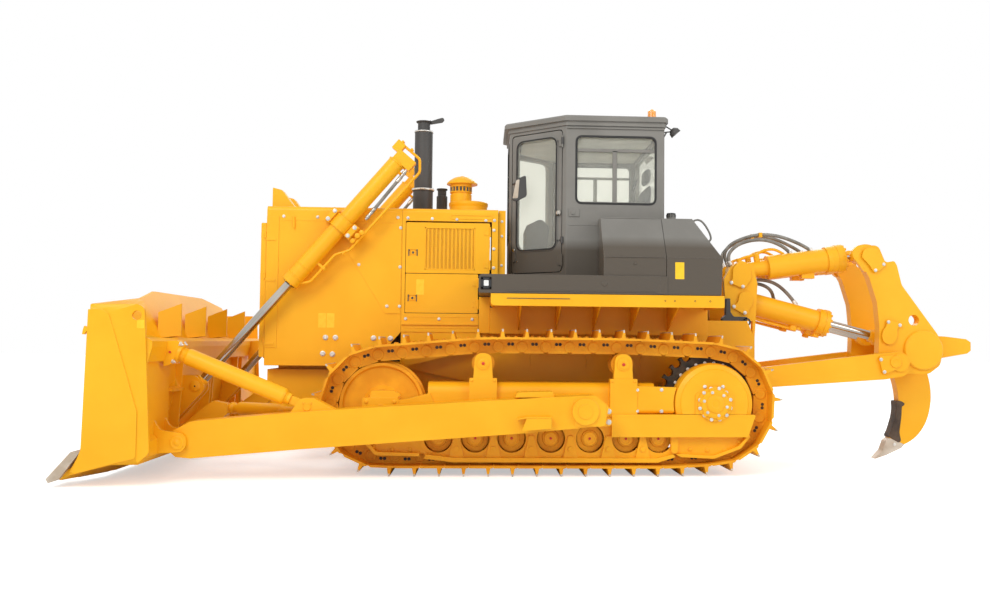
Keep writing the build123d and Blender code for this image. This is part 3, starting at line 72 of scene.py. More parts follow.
def add(tree, kind, inputs=None, **settings):
    """New shader node. An input is a socket to link, or a value to set."""
    node = tree.nodes.new("ShaderNode" + kind)
    for name, value in settings.items():
        setattr(node, name, value)
    for name, value in (inputs or {}).items():
        if isinstance(value, bpy.types.NodeSocket):
            tree.links.new(value, node.inputs[name])
        else:
            node.inputs[name].default_value = value
    return node


# the camera, gloss and glass see a white background, and the object is lit by a softer fill
world = bpy.data.worlds.new("studio")
bpy.context.scene.world = world
world.use_nodes = True
tree = world.node_tree
tree.nodes.clear()
ray = add(tree, "LightPath").outputs
either = add(tree, "Math", {0: ray["Is Camera Ray"], 1: ray["Is Glossy Ray"]}, operation="MAXIMUM")
either = add(tree, "Math", {0: either.outputs[0], 1: ray["Is Transmission Ray"]}, operation="MAXIMUM")
fill = add(tree, "Background", {"Color": (0.96, 0.98, 1.0, 1), "Strength": 0.72})
seen = add(tree, "Background", {"Color": (1, 1, 1, 1), "Strength": 1.0})
mix = add(tree, "MixShader", {0: either.outputs[0], 1: fill.outputs[0], 2: seen.outputs[0]})
add(tree, "OutputWorld", {0: mix.outputs[0]})


def area_light(name, place, target, size, power, colour=(1, 1, 1)):
    light = bpy.data.lights.new(name, "AREA")
    light.shape = "DISK"
    light.size, light.energy, light.color = size, power, colour
    obj = bpy.data.objects.new(name, light)
    obj.location = place
    obj.rotation_euler = (Vector(target) - Vector(place)).to_track_quat("-Z", "Y").to_euler()
    bpy.context.scene.collection.objects.link(obj)


area_light("key", (-6.0, -11.0, 10.0), (0, 0, 1.2), 7.0, 800, (1.0, 0.985, 0.95))
area_light("side", (9.0, -9.0, 6.0), (0, 0, 1.5), 6.0, 300)
area_light("back", (3.0, 10.0, 9.0), (0, 0, 1.5), 7.0, 560)

# -------- materials

PAINTED_SHADE_HEIGHT = (2.18, 2.29)   # metres, where a foot colour of painted shade gives way to the paint


def linear(*srgb):
    """Linear colour of 0 to 255 sRGB values."""
    channel = [value / 255 for value in srgb]
    return [c / 12.92 if c <= 0.04045 else ((c + 0.055) / 1.055) ** 2.4 for c in channel] + [1.0]


def ramp_between(tree, low, high, factor):
    """Colour that runs from low to high with a noise factor."""
    ramp = add(tree, "ValToRGB", {"Fac": factor})
    for element, colour in zip(ramp.color_ramp.elements, (low, high)):
        element.color = linear(*colour)
    return ramp


def mapped(tree, value, start, end):
    """Value carried from its range start to the range end."""
    return add(tree, "MapRange", {"Value": value, "From Min": start[0], "From Max": start[1],
                                  "To Min": end[0], "To Max": end[1]}).outputs[0]


def material(name, low, high, rough, metal=0.0, patch=1.6, grain=70.0, bump=0.05, coat=0.0,
             specular=0.5, edge=3.0, edge_wear_and_highlight=None, stretch=(1, 1, 1), foot=None):
    """Mottled finish: two colours in soft patches, fine grain in roughness and bump, softened
    edges, and edges tinted to a given edge colour: wear on bare steel, track paint and the shank
    guard, a painted edge highlight on the yellow, charcoal and exhaust black paints. A foot is a
    darker colour that takes over below the foot heights, as painted shade on the lower panels."""
    made = bpy.data.materials.new(name)
    made.use_nodes = True
    tree = made.node_tree
    place = add(tree, "TexCoord").outputs["Object"]
    scaled = add(tree, "Mapping", {"Vector": place, "Scale": stretch}).outputs[0]
    patches, fine = (add(tree, "TexNoise", {"Vector": scaled, "Scale": scale, "Detail": detail}).outputs["Fac"]
                     for scale, detail in ((patch, 4.0), (grain, 3.0)))
    ramp = ramp_between(tree, low, high, patches)
    ramp.color_ramp.elements[0].position, ramp.color_ramp.elements[1].position = 0.38, 0.62
    colour = ramp.outputs["Color"]
    # the foot colour is painted shade, mixed in below the foot heights
    if foot:
        height = add(tree, "SeparateXYZ", {0: place}).outputs["Z"]
        colour = add(tree, "Mix", {0: mapped(tree, height, PAINTED_SHADE_HEIGHT, (1.0, 0.0)), 6: colour, 7: linear(*foot)},
                     data_type="RGBA").outputs[2]
    softened = add(tree, "Bevel", {"Radius": edge * MM}, samples=4).outputs[0]
    # edges tinted to the given colour through a bevel mask: wear on bare steel, track paint and the shank guard, a
    # painted edge highlight on the yellow, charcoal and exhaust black paints
    if edge_wear_and_highlight:
        flat = add(tree, "NewGeometry").outputs["Normal"]
        turned_by = add(tree, "VectorMath", {0: softened, 1: flat}, operation="DOT_PRODUCT").outputs["Value"]
        edge_wear_and_highlight_mask = mapped(tree, turned_by, (0.985, 0.90), (0.0, 0.75))
        broken = add(tree, "Math", {0: edge_wear_and_highlight_mask, 1: fine}, operation="MULTIPLY").outputs[0]
        colour = add(tree, "Mix", {0: broken, 6: colour, 7: linear(*edge_wear_and_highlight)}, data_type="RGBA").outputs[2]
    relief = add(tree, "Bump", {"Strength": bump, "Distance": 0.004, "Height": fine, "Normal": softened})
    shader = tree.nodes["Principled BSDF"]
    for key, value in (("Metallic", metal), ("Coat Weight", coat), ("Coat Roughness", 0.12),
                       ("Specular IOR Level", specular)):
        shader.inputs[key].default_value = value
    for key, socket in (("Base Color", colour), ("Roughness", mapped(tree, fine, (0.0, 1.0), rough)),
                        ("Normal", relief.outputs[0])):
        tree.links.new(socket, shader.inputs[key])
    return made


# yellow paint: its lighter yellow edges are a painted edge highlight
YELLOW = material("yellow_paint", (247, 176, 16), (252, 184, 26), (0.36, 0.52), bump=0.03, coat=0.06,
                  specular=0.3, edge_wear_and_highlight=(255, 204, 84))
# track paint: a darker, more orange copy of the yellow paint, as painted shade on the low undercarriage; its tan
# edges are wear
SHADED_TRACK_YELLOW = material("track_paint_shaded", (228, 152, 16), (246, 174, 28), (0.45, 0.65), patch=4.0, bump=0.12,
                        specular=0.3, edge_wear_and_highlight=(206, 160, 92))
# charcoal paint: its foot colour is painted shade on the lower panels, and its lighter grey edges are a painted
# edge highlight
CHARCOAL = material("charcoal_paint", (122, 119, 113), (132, 129, 123), (0.40, 0.55), bump=0.03, coat=0.04,
                    specular=0.3, edge_wear_and_highlight=(164, 161, 155), foot=(88, 80, 70))
# exhaust black: its lighter grey edges are a painted edge highlight
SOOT = material("exhaust_black", (62, 60, 58), (78, 76, 74), (0.45, 0.65), bump=0.06, edge_wear_and_highlight=(120, 118, 116))
STEEL = material("bare_steel", (150, 146, 140), (205, 200, 190), (0.22, 0.45), metal=0.85, patch=6.0,
                 grain=120, bump=0.10, stretch=(1, 1, 6))
EDGE_STEEL = material("edge_steel", (184, 168, 148), (214, 204, 190), (0.4, 0.6), metal=0.25, patch=5.0,
                      bump=0.12, edge_wear_and_highlight=(235, 228, 215))
CHROME = material("chrome", (172, 167, 158), (196, 190, 180), (0.10, 0.18), metal=1.0, bump=0.004)
ZINC = material("zinc_bolts", (206, 204, 198), (232, 230, 224), (0.30, 0.45), metal=0.35, patch=30.0,
                bump=0.05, edge=0.8)
GREASE = material("greased_steel", (38, 32, 26), (74, 58, 40), (0.35, 0.70), metal=0.3, patch=9.0, bump=0.3)
RUBBER = material("hose_rubber", (112, 107, 98), (140, 135, 126), (0.40, 0.55), patch=12.0, grain=300, bump=0.08)
PLASTIC = material("dark_plastic", (34, 34, 35), (46, 46, 47), (0.45, 0.6), patch=8.0, grain=400, bump=0.1)
FABRIC = material("seat_fabric", (36, 36, 40), (56, 56, 60), (0.75, 0.92), patch=40.0, grain=700, bump=0.35)
CASTING = material("engine_grey", (90, 90, 88), (120, 120, 116), (0.5, 0.75), patch=5.0, grain=200, bump=0.3)
RED = material("grease_plugs", (196, 46, 22), (214, 58, 30), (0.35, 0.5), patch=30.0, edge=0.6)
AMBER = material("amber_lens", (250, 150, 20), (255, 170, 40), (0.08, 0.16), patch=20.0, bump=0.01, coat=1.0)
LENS = material("lamp_lens", (226, 226, 222), (244, 244, 240), (0.05, 0.12), patch=30.0, grain=30, bump=0.02,
                coat=1.0)
MIRROR = material("reflector", (215, 215, 215), (235, 235, 235), (0.06, 0.1), metal=1.0, bump=0.004)
BROWN = material("shank_guard", (66, 54, 46), (92, 76, 62), (0.45, 0.7), metal=0.4, patch=8.0, bump=0.25,
                 edge_wear_and_highlight=(140, 120, 100))
LINER = material("cab_liner", (206, 204, 190), (222, 220, 206), (0.6, 0.8), patch=3.0, grain=200, bump=0.06)
LABEL = material("blank_labels", (250, 196, 20), (252, 204, 36), (0.4, 0.5), patch=20.0, edge=0.4)
SEAL = material("window_seal", (28, 27, 27), (40, 39, 38), (0.5, 0.65), patch=12.0, grain=300, bump=0.06)


def glass_material():
    """Clear safety glass with a faint grey tint and light dust."""
    made = bpy.data.materials.new("cab_glass")
    made.use_nodes = True
    tree = made.node_tree
    place = add(tree, "TexCoord").outputs["Object"]
    dust = add(tree, "TexNoise", {"Vector": place, "Scale": 5.0}).outputs["Fac"]
    tint = ramp_between(tree, (243, 244, 236), (251, 251, 244), dust)
    shader = tree.nodes["Principled BSDF"]
    shader.inputs["Transmission Weight"].default_value = 0.88
    shader.inputs["IOR"].default_value = 1.12
    tree.links.new(tint.outputs["Color"], shader.inputs["Base Color"])
    tree.links.new(mapped(tree, dust, (0.0, 1.0), (0.01, 0.05)), shader.inputs["Roughness"])
    return made


GLASS = glass_material()
FLOOR = material("pale_floor", (240, 240, 240), (246, 246, 246), (0.85, 0.95), patch=0.4, bump=0.0, specular=0.1)
# the floor looks white to the camera outside the object's soft shadow, and sends no extra light to it
tree = FLOOR.node_tree
shader = tree.nodes["Principled BSDF"]
shader.inputs["Emission Color"].default_value = (1, 1, 1, 1)
glow = add(tree, "Math", {0: add(tree, "LightPath").outputs["Is Camera Ray"], 1: 0.5}, operation="MULTIPLY")
tree.links.new(glow.outputs[0], shader.inputs["Emission Strength"])

# finish of every CAD node; all others are painted yellow
FINISHES = {
    CHARCOAL: ("deck", "fuel_tank", "side_boxes", "cab_shell", "cab_roof", "cab_door_left", "cab_door_right"),
    SOOT: ("stacks", "grab_rails"),
    GLASS: ("cab_glass", "door_glass_left", "door_glass_right"),
    PLASTIC: ("console",),
    FABRIC: ("seat",),
    AMBER: ("beacon",),
    CHROME: ("lift_rod_left", "lift_rod_right", "tilt_rods", "hoist_rods"),
    EDGE_STEEL: ("cutting_edges", "ripper_tooth"),
    CASTING: ("engine", "radiator"),
    GREASE: ("sprockets",),
    SHADED_TRACK_YELLOW: ("track_left", "track_right", "idlers", "track_rollers", "carrier_rollers"),
}
finish_of = {node: look for look, names in FINISHES.items() for node in names}
for node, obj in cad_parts.items():
    look = finish_of.get(node, YELLOW)
    for slot in obj.material_slots:
        slot.material = look
    if look is GLASS:
        obj.visible_shadow = False

# -------- piece building

SIDES = (("left", -1), ("right", 1))
# slot of a piece in this look, where the piece names no other
SLOTS = {YELLOW: "body_yellow", SHADED_TRACK_YELLOW: "body_yellow", CHARCOAL: "charcoal_paint", CHROME: "chrome",
         ZINC: "bare_steel", STEEL: "bare_steel", EDGE_STEEL: "bare_steel", PLASTIC: "dark_plastic",
         FABRIC: "seat_fabric", AMBER: "amber_lens"}


def dress(name, data, look, body, slot=None):
    """Object in its look, riding on its body; the slot it works out is not given to it."""
    data.materials.append(look)
    obj = bpy.data.objects.new(name, data)
    bpy.context.scene.collection.objects.link(obj)
    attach(obj, body)
    slot = slot or SLOTS.get(look)
    return obj


class Piece:
    """Vertices and faces of one piece, in millimetres. Methods named in the plural make the
    same form on both sides: y is then a distance from the middle, and discs and bolts face out."""

    def __init__(self):
        self.verts, self.faces = [], []

    def add(self, verts, faces):
        first = len(self.verts)
        self.verts += [tuple(v) for v in verts]
        self.faces += [tuple(first + i for i in face) for face in faces]

    def turned(self, origin, axis, profile, sides=20):
        """Solid of revolution; profile lists (distance along the axis, radius). One that ends
        where it starts is an open ring, and any other is capped."""
        ring = profile[0] == profile[-1]
        if ring:
            profile = profile[:-1]
        w = Vector(axis).normalized()
        u = w.orthogonal().normalized() if abs(w.y) < 0.9 else Vector((1, 0, 0))
        v = w.cross(u)
        angles = [2 * pi * index / sides for index in range(sides)]
        verts = [Vector(origin) + w * distance + (u * cos(angle) + v * sin(angle)) * radius
                 for distance, radius in profile for angle in angles]
        rows = [range(row * sides, (row + 1) * sides) for row in range(len(profile))]
        faces = [(a[i], a[(i + 1) % sides], b[(i + 1) % sides], b[i])
                 for a, b in zip(rows, rows[1:] + rows[:1] if ring else rows[1:]) for i in range(sides)]
        if not ring:
            faces += [tuple(reversed(rows[0])), tuple(rows[-1])]
        self.add(verts, faces)

    def bolt(self, place, axis, size=13):
        """Hexagon head on a washer."""
        self.turned(place, axis, [(-2, size * 1.25), (size * 0.2, size * 1.25), (size * 0.25, size * 1.15)], 14)
        top = Vector(place) + Vector(axis).normalized() * size * 0.24
        self.turned(top, axis, [(0, size), (size * 0.5, size), (size * 0.65, size * 0.8)], 6)

    def rod(self, start, end, radius, sides=14):
        along = Vector(end) - Vector(start)
        self.turned(start, along, [(0, radius), (along.length, radius)], sides)

    def plate(self, outline, low, high, normal="y"):
        """Prism over an outline (x, z), (x, y) or (y, z) between two values across it."""
        place = {"y": lambda a, b, c: (a, c, b), "z": lambda a, b, c: (a, b, c), "x": lambda a, b, c: (c, a, b)}
        verts = [place[normal](a, b, c) for c in (low, high) for a, b in outline]
        count = len(outline)
        faces = [(i, (i + 1) % count, count + (i + 1) % count, count + i) for i in range(count)]
        self.add(verts, faces + [tuple(reversed(range(count))), tuple(range(count, 2 * count))])

    def box(self, low, high):
        self.plate([(low[0], low[2]), (high[0], low[2]), (high[0], high[2]), (low[0], high[2])], low[1], high[1])

    def discs(self, place, profile, sides=20):
        for _, side in SIDES:
            self.turned((place[0], side * place[1], place[2]), (0, side, 0), profile, sides)

    def bolts(self, place, size=13):
        for _, side in SIDES:
            self.bolt((place[0], side * place[1], place[2]), (0, side, 0), size)

    def rods(self, start, end, radius, sides=14):
        for _, side in SIDES:
            self.rod((start[0], side * start[1], start[2]), (end[0], side * end[1], end[2]), radius, sides)

    def plates(self, outline, near, far):
        for _, side in SIDES:
            self.plate(outline, *sorted((side * near, side * far)))

    def boxes(self, low, high):
        for _, side in SIDES:
            near, far = sorted((side * low[1], side * high[1]))
            self.box((low[0], near, low[2]), (high[0], far, high[2]))

    def make(self, name, look, body=TRACTOR, bevel=0.0, slot=None, angle=35):
        mesh = bpy.data.meshes.new(name)
        mesh.from_pydata([(x * MM, y * MM, z * MM) for x, y, z in self.verts], [], self.faces)
        face_outwards(mesh)
        mesh.shade_smooth()
        mesh.set_sharp_from_angle(angle=radians(angle))
        obj = dress(name, mesh, look, body, slot)
        if bevel:
            rounding = obj.modifiers.new("rounding", "BEVEL")
            rounding.width, rounding.segments, rounding.limit_method = bevel * MM, 2, "ANGLE"
            rounding.angle_limit = radians(40)
        return obj


def face_outwards(mesh):
    """Turn all the faces of a closed mesh outwards."""
    work = bmesh.new()
    work.from_mesh(mesh)
    bmesh.ops.recalc_face_normals(work, faces=work.faces)
    work.to_mesh(mesh)
    work.free()


def rounded(outline, radius, steps=4):
    """Outline with each corner replaced by an arc of about this radius."""
    points = []
    for index, corner in enumerate(outline):
        before, after = Vector(outline[index - 1]), Vector(outline[(index + 1) % len(outline)])
        here = Vector(corner)
        into, out_of = (before - here), (after - here)
        reach = min(radius, into.length * 0.45, out_of.length * 0.45)
        start, end = here + into.normalized() * reach, here + out_of.normalized() * reach
        for step in range(steps + 1):
            t = step / steps
            points.append(tuple(start * (1 - t) ** 2 + here * 2 * t * (1 - t) + end * t ** 2))
    return points


def rectangle(x0, z0, x1, z1, radius, steps=4):
    return rounded([(x0, z0), (x1, z0), (x1, z1), (x0, z1)], radius, steps)


def bent_rod(name, points, radius, look, body, order=3):
    """Smooth round bar or pipe through a route of control points, in millimetres."""
    curve = bpy.data.curves.new(name, "CURVE")
    curve.dimensions = "3D"
    curve.bevel_depth, curve.bevel_resolution, curve.use_fill_caps = radius * MM, 4, True
    spline = curve.splines.new("NURBS")
    spline.points.add(len(points) - 1)
    for point, place in zip(spline.points, points):
        point.co = (*(value * MM for value in place), 1)
    spline.order_u, spline.use_endpoint_u, spline.resolution_u = order, True, 10
    return dress(name, curve, look, body)


def circle_of(centre, radius, count, phase=0.0):
    """Points spaced round a circle."""
    angles = [phase + 2 * pi * i / count for i in range(count)]
    return [(centre[0] + radius * cos(angle), centre[1] + radius * sin(angle)) for angle in angles]


# -------- tracks

SHOES, TEETH, SHOE_TOP, GROUSER_TOP = 41, 27, 92, 169
TRACK_MIDDLE, SHOE_HALF, LINK_FACE = 1070, 280, 104
IDLER, SPROCKET, ROLLER_Z = (-1809, 648), (1350, 688), 344
CARRIERS = ((-854, 1053), (480, 1053))
ROLLERS_X = (-1270, -920, -576, -203, 170, 517, 831)
# x, z, radius of the pin line round each wheel, clockwise from the idler
WRAPS = ((*IDLER, 465 / cos(0.487 / 2)), (*CARRIERS[0], 159), (*CARRIERS[1], 159), (*SPROCKET, 492),
         (911, ROLLER_Z, 175))


def pin_line():
    """Pins of the chain, spaced evenly along the tangents and arcs round the wheels."""
    tangents = []
    for (x0, z0, r0), (x1, z1, r1) in zip(WRAPS, WRAPS[1:] + WRAPS[:1]):
        distance = hypot(x1 - x0, z1 - z0)
        heading = atan2(z1 - z0, x1 - x0) + atan2(r1 - r0, sqrt(distance**2 - (r1 - r0)**2))
        out = (-sin(heading), cos(heading))
        tangents.append(((x0 + out[0] * r0, z0 + out[1] * r0), (x1 + out[0] * r1, z1 + out[1] * r1), heading))
    spans = []
    for index, (start, end, heading) in enumerate(tangents):
        following = (index + 1) % len(WRAPS)
        radius = WRAPS[following][2]
        spans.append((start, hypot(end[0] - start[0], end[1] - start[1]), heading, 0))
        spans.append((end, ((heading - tangents[following][2]) % (2 * pi)) * radius, heading, 1 / radius))
    total = sum(span[1] for span in spans)
    pins = []
    for index in range(SHOES):
        distance = total * index / SHOES
        for start, length, heading, curvature in spans:
            if distance <= length:
                break
            distance -= length
        if curvature:
            reached, radius = heading - distance * curvature, 1 / curvature
            pins.append((start[0] + radius * (sin(heading) - sin(reached)),
                         start[1] + radius * (cos(reached) - cos(heading))))
        else:
            pins.append((start[0] + distance * cos(heading), start[1] + distance * sin(heading)))
    return pins


def on_link(start, end, share, height):
    """Point (x, z) at a share of the way between a link's pins and a height over them, outward."""
    length = hypot(end[0] - start[0], end[1] - start[1])
    along = ((end[0] - start[0]) / length, (end[1] - start[1]) / length)
    return (start[0] + along[0] * length * share - along[1] * height,
            start[1] + along[1] * length * share + along[0] * height)


PINS = pin_line()
LINKS = list(zip(PINS, PINS[1:] + PINS[:1]))
# outlines on a link: tip of the grouser, lip that laps over the next shoe, and cover of the waist
TIP = ((0.137, GROUSER_TOP - 26), (0.139, GROUSER_TOP + 0.8), (0.201, GROUSER_TOP + 0.8), (0.207, GROUSER_TOP - 26))
LIP = ((-0.10, SHOE_TOP - 26), (-0.06, SHOE_TOP - 30), (0.0, SHOE_TOP - 12), (0.09, SHOE_TOP - 6),
       (0.09, SHOE_TOP + 3), (-0.02, SHOE_TOP - 2), (-0.08, SHOE_TOP - 18))
WAIST = ((0.36, -32), (0.68, -32), (0.66, 46), (0.38, 46))
PIN_END = [(0, 53), (9, 53), (13, 48), (13, 33), (11, 31), (11, 4)]

for side_name, side in SIDES:
    middle = side * TRACK_MIDDLE
    tips, bolts, pins, webs, pocket_shades = (Piece() for _ in range(5))
    for link in LINKS:
        tip, lip, waist = ([on_link(*link, *point) for point in outline] for outline in (TIP, LIP, WAIST))
        tips.plate(rounded(tip, 5, 2), middle - SHOE_HALF - 0.8, middle + SHOE_HALF + 0.8)
        webs.plate(rounded(lip, 4, 2), middle - SHOE_HALF + 2, middle + SHOE_HALF - 2)
        (x0, z0), (x1, z1) = on_link(*link, 0, 0), on_link(*link, 0, 1)
        for share in (0.42, 0.74):
            x, z = on_link(*link, share, SHOE_TOP)
            for y in (-82, 82):
                bolts.bolt((x, middle + y, z), (x1 - x0, 0, z1 - z0), 15)
        for face in (-1, 1):
            out, side_of_link = (0, face, 0), middle + face * (LINK_FACE + 1.5)
            pins.turned((x0, middle + face * (LINK_FACE - 2), z0), out, PIN_END, 24)
            webs.plate(waist, *sorted((middle + face * 70, side_of_link)))
            # dark discs on the link's sides: painted shade in its two pockets
            for share in (0.445, 0.595):
                x, z = on_link(*link, share, 26)
                pocket_shades.turned((x, side_of_link, z), out, [(-1, 16), (0.8, 16)], 14)
    for piece, name, look in ((tips, "grouser_tips", EDGE_STEEL), (bolts, "shoe_bolts", SHADED_TRACK_YELLOW),
                              (pins, "link_pins", SHADED_TRACK_YELLOW), (webs, "link_webs", SHADED_TRACK_YELLOW),
                              (pocket_shades, "link_pocket_shades", GREASE)):
        piece.make(f"{name}_{side_name}", look)

# nuts of the toothed segments on each sprocket
segment_bolts, plugs, caps = Piece(), Piece(), Piece()
for _, side in SIDES:
    for face in (-1, 1):
        for x, z in circle_of(SPROCKET, 385, TEETH, 0.06):
            segment_bolts.bolt((x, side * TRACK_MIDDLE + face * 40, z), (0, face, 0), 13)
# red grease plugs and cap screws at the rollers, carriers and idlers
for x in ROLLERS_X:
    plugs.discs((x, TRACK_MIDDLE + 138, ROLLER_Z), [(0, 12), (10, 12), (12, 8)], 12)
    caps.discs((x, TRACK_MIDDLE + 136, ROLLER_Z), [(0, 62), (6, 62), (8, 58), (8, 46), (5, 44), (5, 20)], 28)
for x, z in CARRIERS:
    plugs.discs((x, 1299, z), [(0, 15), (8, 15), (11, 10)], 14)
    caps.discs((x, 1296, z), [(0, 44), (6, 44), (8, 40), (8, 26), (5, 24)], 28)
plugs.discs((IDLER[0], 1273, 637), [(0, 15), (6, 15), (9, 10)], 14)
caps.discs((IDLER[0], 1269, 637), [(0, 30), (7, 30), (9, 26), (9, 20), (5, 18)], 24)
segment_bolts.make("sprocket_bolts", ZINC)
plugs.make("grease_plugs", RED)
caps.make("roller_caps", YELLOW)

# -------- bolts

HOOD_FACE = 610
# name, body, distance of the face from the middle, head size, and places (x, z)
BOLT_ROWS = (
    ("hood_band", TRACTOR, HOOD_FACE, 13, (
        (-2880, 2504), (-2542, 2502), (-1735, 2510), (-1634, 2509), (-1388, 2504), (-1138, 2502), (-843, 2496),
        (-755, 2496))),
    ("hood_panel", TRACTOR, HOOD_FACE + 6, 13, (
        (-1706, 2404), (-1706, 2006), (-2121, 2025), (-1832, 1607), (-1706, 1607))),
    ("hood_rear", TRACTOR, HOOD_FACE, 13, ((-759, 2396), (-759, 2204), (-759, 2010))),
    ("hood_sill", TRACTOR, HOOD_FACE, 13, ((-1643, 1482), (-1306, 1482), (-969, 1482))),
    ("guard_side", TRACTOR, HOOD_FACE, 22, (
        (-2440, 1285), (-2341, 1285), (-1960, 1283), (-1791, 1281), (-2465, 1124), (-2368, 1118))),
    ("drive_guard", TRACTOR, 1322, 14, ((1255, 850), (1430, 850))),
    ("frame_cover", TRACTOR, 1290, 14, ((612, 812), (846, 816), (612, 612), (846, 612))),
)
PAINTED_ROWS = (
    ("guard_feet", TRACTOR, 1240, 17, (
        (1132, 250), (1298, 240), (1467, 240), (1606, 322), (-1865, 262), (-1697, 240), (-1532, 240))),
    ("idler_block", TRACTOR, 1272, 16, ((-1945, 600), (-1945, 688), (-1682, 600), (-1682, 688))),
    ("carrier_foot", TRACTOR, 1302, 11, [(x + dx, 893) for x, _ in CARRIERS for dx in (-105, 108)]),
    ("brace_cap", BLADE, 1621, 8, circle_of((-2430, 658), 48, 4, 0.785)),
)
for rows, look in ((BOLT_ROWS, ZINC), (PAINTED_ROWS, YELLOW)):
    for name, body, face, size, places in rows:
        row = Piece()
        for x, z in places:
            row.bolts((x, face, z), size)
        row.make(f"bolts_{name}", look, body)

hole_shades, hub, hub_cap = Piece(), Piece(), Piece()
# dark discs in the holes of the deck's side band: painted shade in the holes
for x in (869, 960, 1156, 1302):
    hole_shades.discs((x, 1350, 1663), [(-1, 9), (0.8, 9), (0.8, 7), (-1, 3)], 14)
for x, z in circle_of(SPROCKET, 112, 6, radians(-14)):
    hub.bolts((x, 1368, z), 12)
for x, z in circle_of(SPROCKET, 152, 12, radians(16)):
    hub.discs((x, 1349, z), [(-2, 17), (9, 17), (12, 13)], 14)
for x, z in circle_of(SPROCKET, 134, 6, radians(-14)):
    hub_cap.discs((x, 1346, z), [(0, 25), (18, 25), (22, 21)], 20)
hub_cap.discs((SPROCKET[0], 1367, SPROCKET[1]), [(0, 84), (8, 84), (12, 78), (12, 40), (9, 36)], 40)
hole_shades.make("deck_hole_shades", SEAL)
hub.make("hub_bolts", ZINC)
hub_cap.make("hub_cap", YELLOW)

# -------- blank labels

labels, blade_labels = Piece(), Piece()
for face, *box in ((HOOD_FACE, -2516, 1385, -2440, 1531), (HOOD_FACE, -2431, 1385, -2355, 1531),
                   (HOOD_FACE, -1541, 1728, -1462, 1886), (1340, 965, 1872, 1052, 2033)):
    labels.plate(rectangle(*box, 5, 3), -face - 0.9, -face)
blade_labels.plate(rectangle(-3792, 1346, -3731, 1417, 5, 3), -2054, -2053)
labels.make("blank_labels", LABEL)
blade_labels.make("blade_labels", LABEL, BLADE)

# -------- hood and engine doors

LATCH_X = -1578
# engine doors: height of the latch, edge at the hinges, and heights of the hinges
ENGINE_DOORS = (("upper", 2156, -838, (2038, 2375)), ("lower", 1694, -952, (1635, 1852)))
for side_name, side in SIDES:
    # woven wire behind the upright bars of the engine door's grille
    wire = Piece()
    x0, x1, z0, z1, y = -1445, -964, 1999, 2403, side * 603
    for index in range(60):
        x = x0 + (x1 - x0) * (index + 0.5) / 60
        wire.rod((x, y, z0), (x, y, z1), 2.1, 5)
    for index in range(50):
        z = z0 + (z1 - z0) * (index + 0.5) / 50
        wire.rod((x0, y, z), (x1, y, z), 2.1, 5)
    wire.make(f"grille_wire_{side_name}", YELLOW, f"engine_door_upper_{side_name}")
    out = (0, side, 0)
    for door, z_latch, x_edge, z_hinges in ENGINE_DOORS:
        body = f"engine_door_{door}_{side_name}"
        fittings, straps = Piece(), Piece()
        for dx in (-42, 42):
            low, high = sorted((side * 606, side * 614))
            fittings.box((LATCH_X + dx - 5, low, z_latch - 34), (LATCH_X + dx + 5, high, z_latch + 34))
            fittings.turned((LATCH_X + dx * 0.9, side * 606, z_latch + 22), out, [(0, 6), (10, 6), (11, 4)], 10)
        fittings.turned((LATCH_X, side * 604, z_latch), out, [(0, 12), (6, 12), (7, 9)], 16)
        for z in z_hinges:
            straps.plate(rectangle(x_edge - 22, z - 34, x_edge + 30, z + 34, 6), *sorted((side * 609, side * 614)))
            for dz in (-22, 22):
                straps.turned((x_edge - 8, side * 614, z + dz), out, [(0, 5), (2, 5), (4, 3)], 10)
        fittings.make(f"latch_{door}_{side_name}", SOOT, body, bevel=1)
        straps.make(f"door_hinges_{door}_{side_name}", YELLOW, body)
    # hinge leaves and handle of the front grille door
    leaves = Piece()
    for z in (1218, 1859, 2269):
        low, high = sorted((side * 545, side * 600))
        leaves.box((-3104, low, z + 16), (-3098, high, z + 72))
        for dz in (30, 58):
            leaves.bolt((-3103, side * 565, z + dz), (-1, 0, 0), 7)
    y = side * 60
    leaves.rod((-3102, y, 1700), (-3125, y, 1700), 8)
    leaves.rod((-3125, y, 1690), (-3125, y, 1860), 9)
    leaves.rod((-3102, y, 1850), (-3125, y, 1850), 8)
    leaves.make(f"grille_leaves_{side_name}", YELLOW, f"grille_door_{side_name}")

trim = Piece()
# folded lips of the hood's top band and of its lower sill
for x0, z0, x1, z1 in ((-2920, 2462, -2060, 2470), (-1655, 1500, -905, 1506), (-1655, 1388, -905, 1394),
                       (-3044, 1003, -1700, 1015)):
    trim.boxes((x0, 609, z0), (x1, 612.5, z1))
# frame of the grille opening, and the hook on the band
for x0, z0, x1, z1 in ((-1462, 1985, -948, 1997), (-1462, 2405, -948, 2417), (-1462, 1985, -1448, 2417),
                       (-961, 1985, -948, 2417)):
    trim.boxes((x0, 609, z0), (x1, 612, z1))
trim.rods((-2778, 608, 2499), (-2778, 632, 2499), 10)
trim.rods((-2778, 626, 2504), (-2772, 626, 2385), 9)
trim.make("hood_trim", YELLOW, bevel=1.5)

# expanded metal over the radiator
mesh_guard = Piece()
for index in range(44):
    z = 1100 + 1320 * index / 43
    mesh_guard.rod((-2788, -515, z), (-2788, 515, z), 3, 5)
for index in range(35):
    y = -510 + 1020 * index / 34
    mesh_guard.rod((-2792, y, 1095), (-2792, y, 2425), 3, 5)
mesh_guard.make("radiator_mesh", SOOT)

# -------- lamps, stacks and intake

lenses, bowls, hoods, work_lamps, surround = (Piece() for _ in range(5))
SLOPE = [(-2822, 2640), (-2870, 2700), (-2950, 2805), (-3042, 2828)]
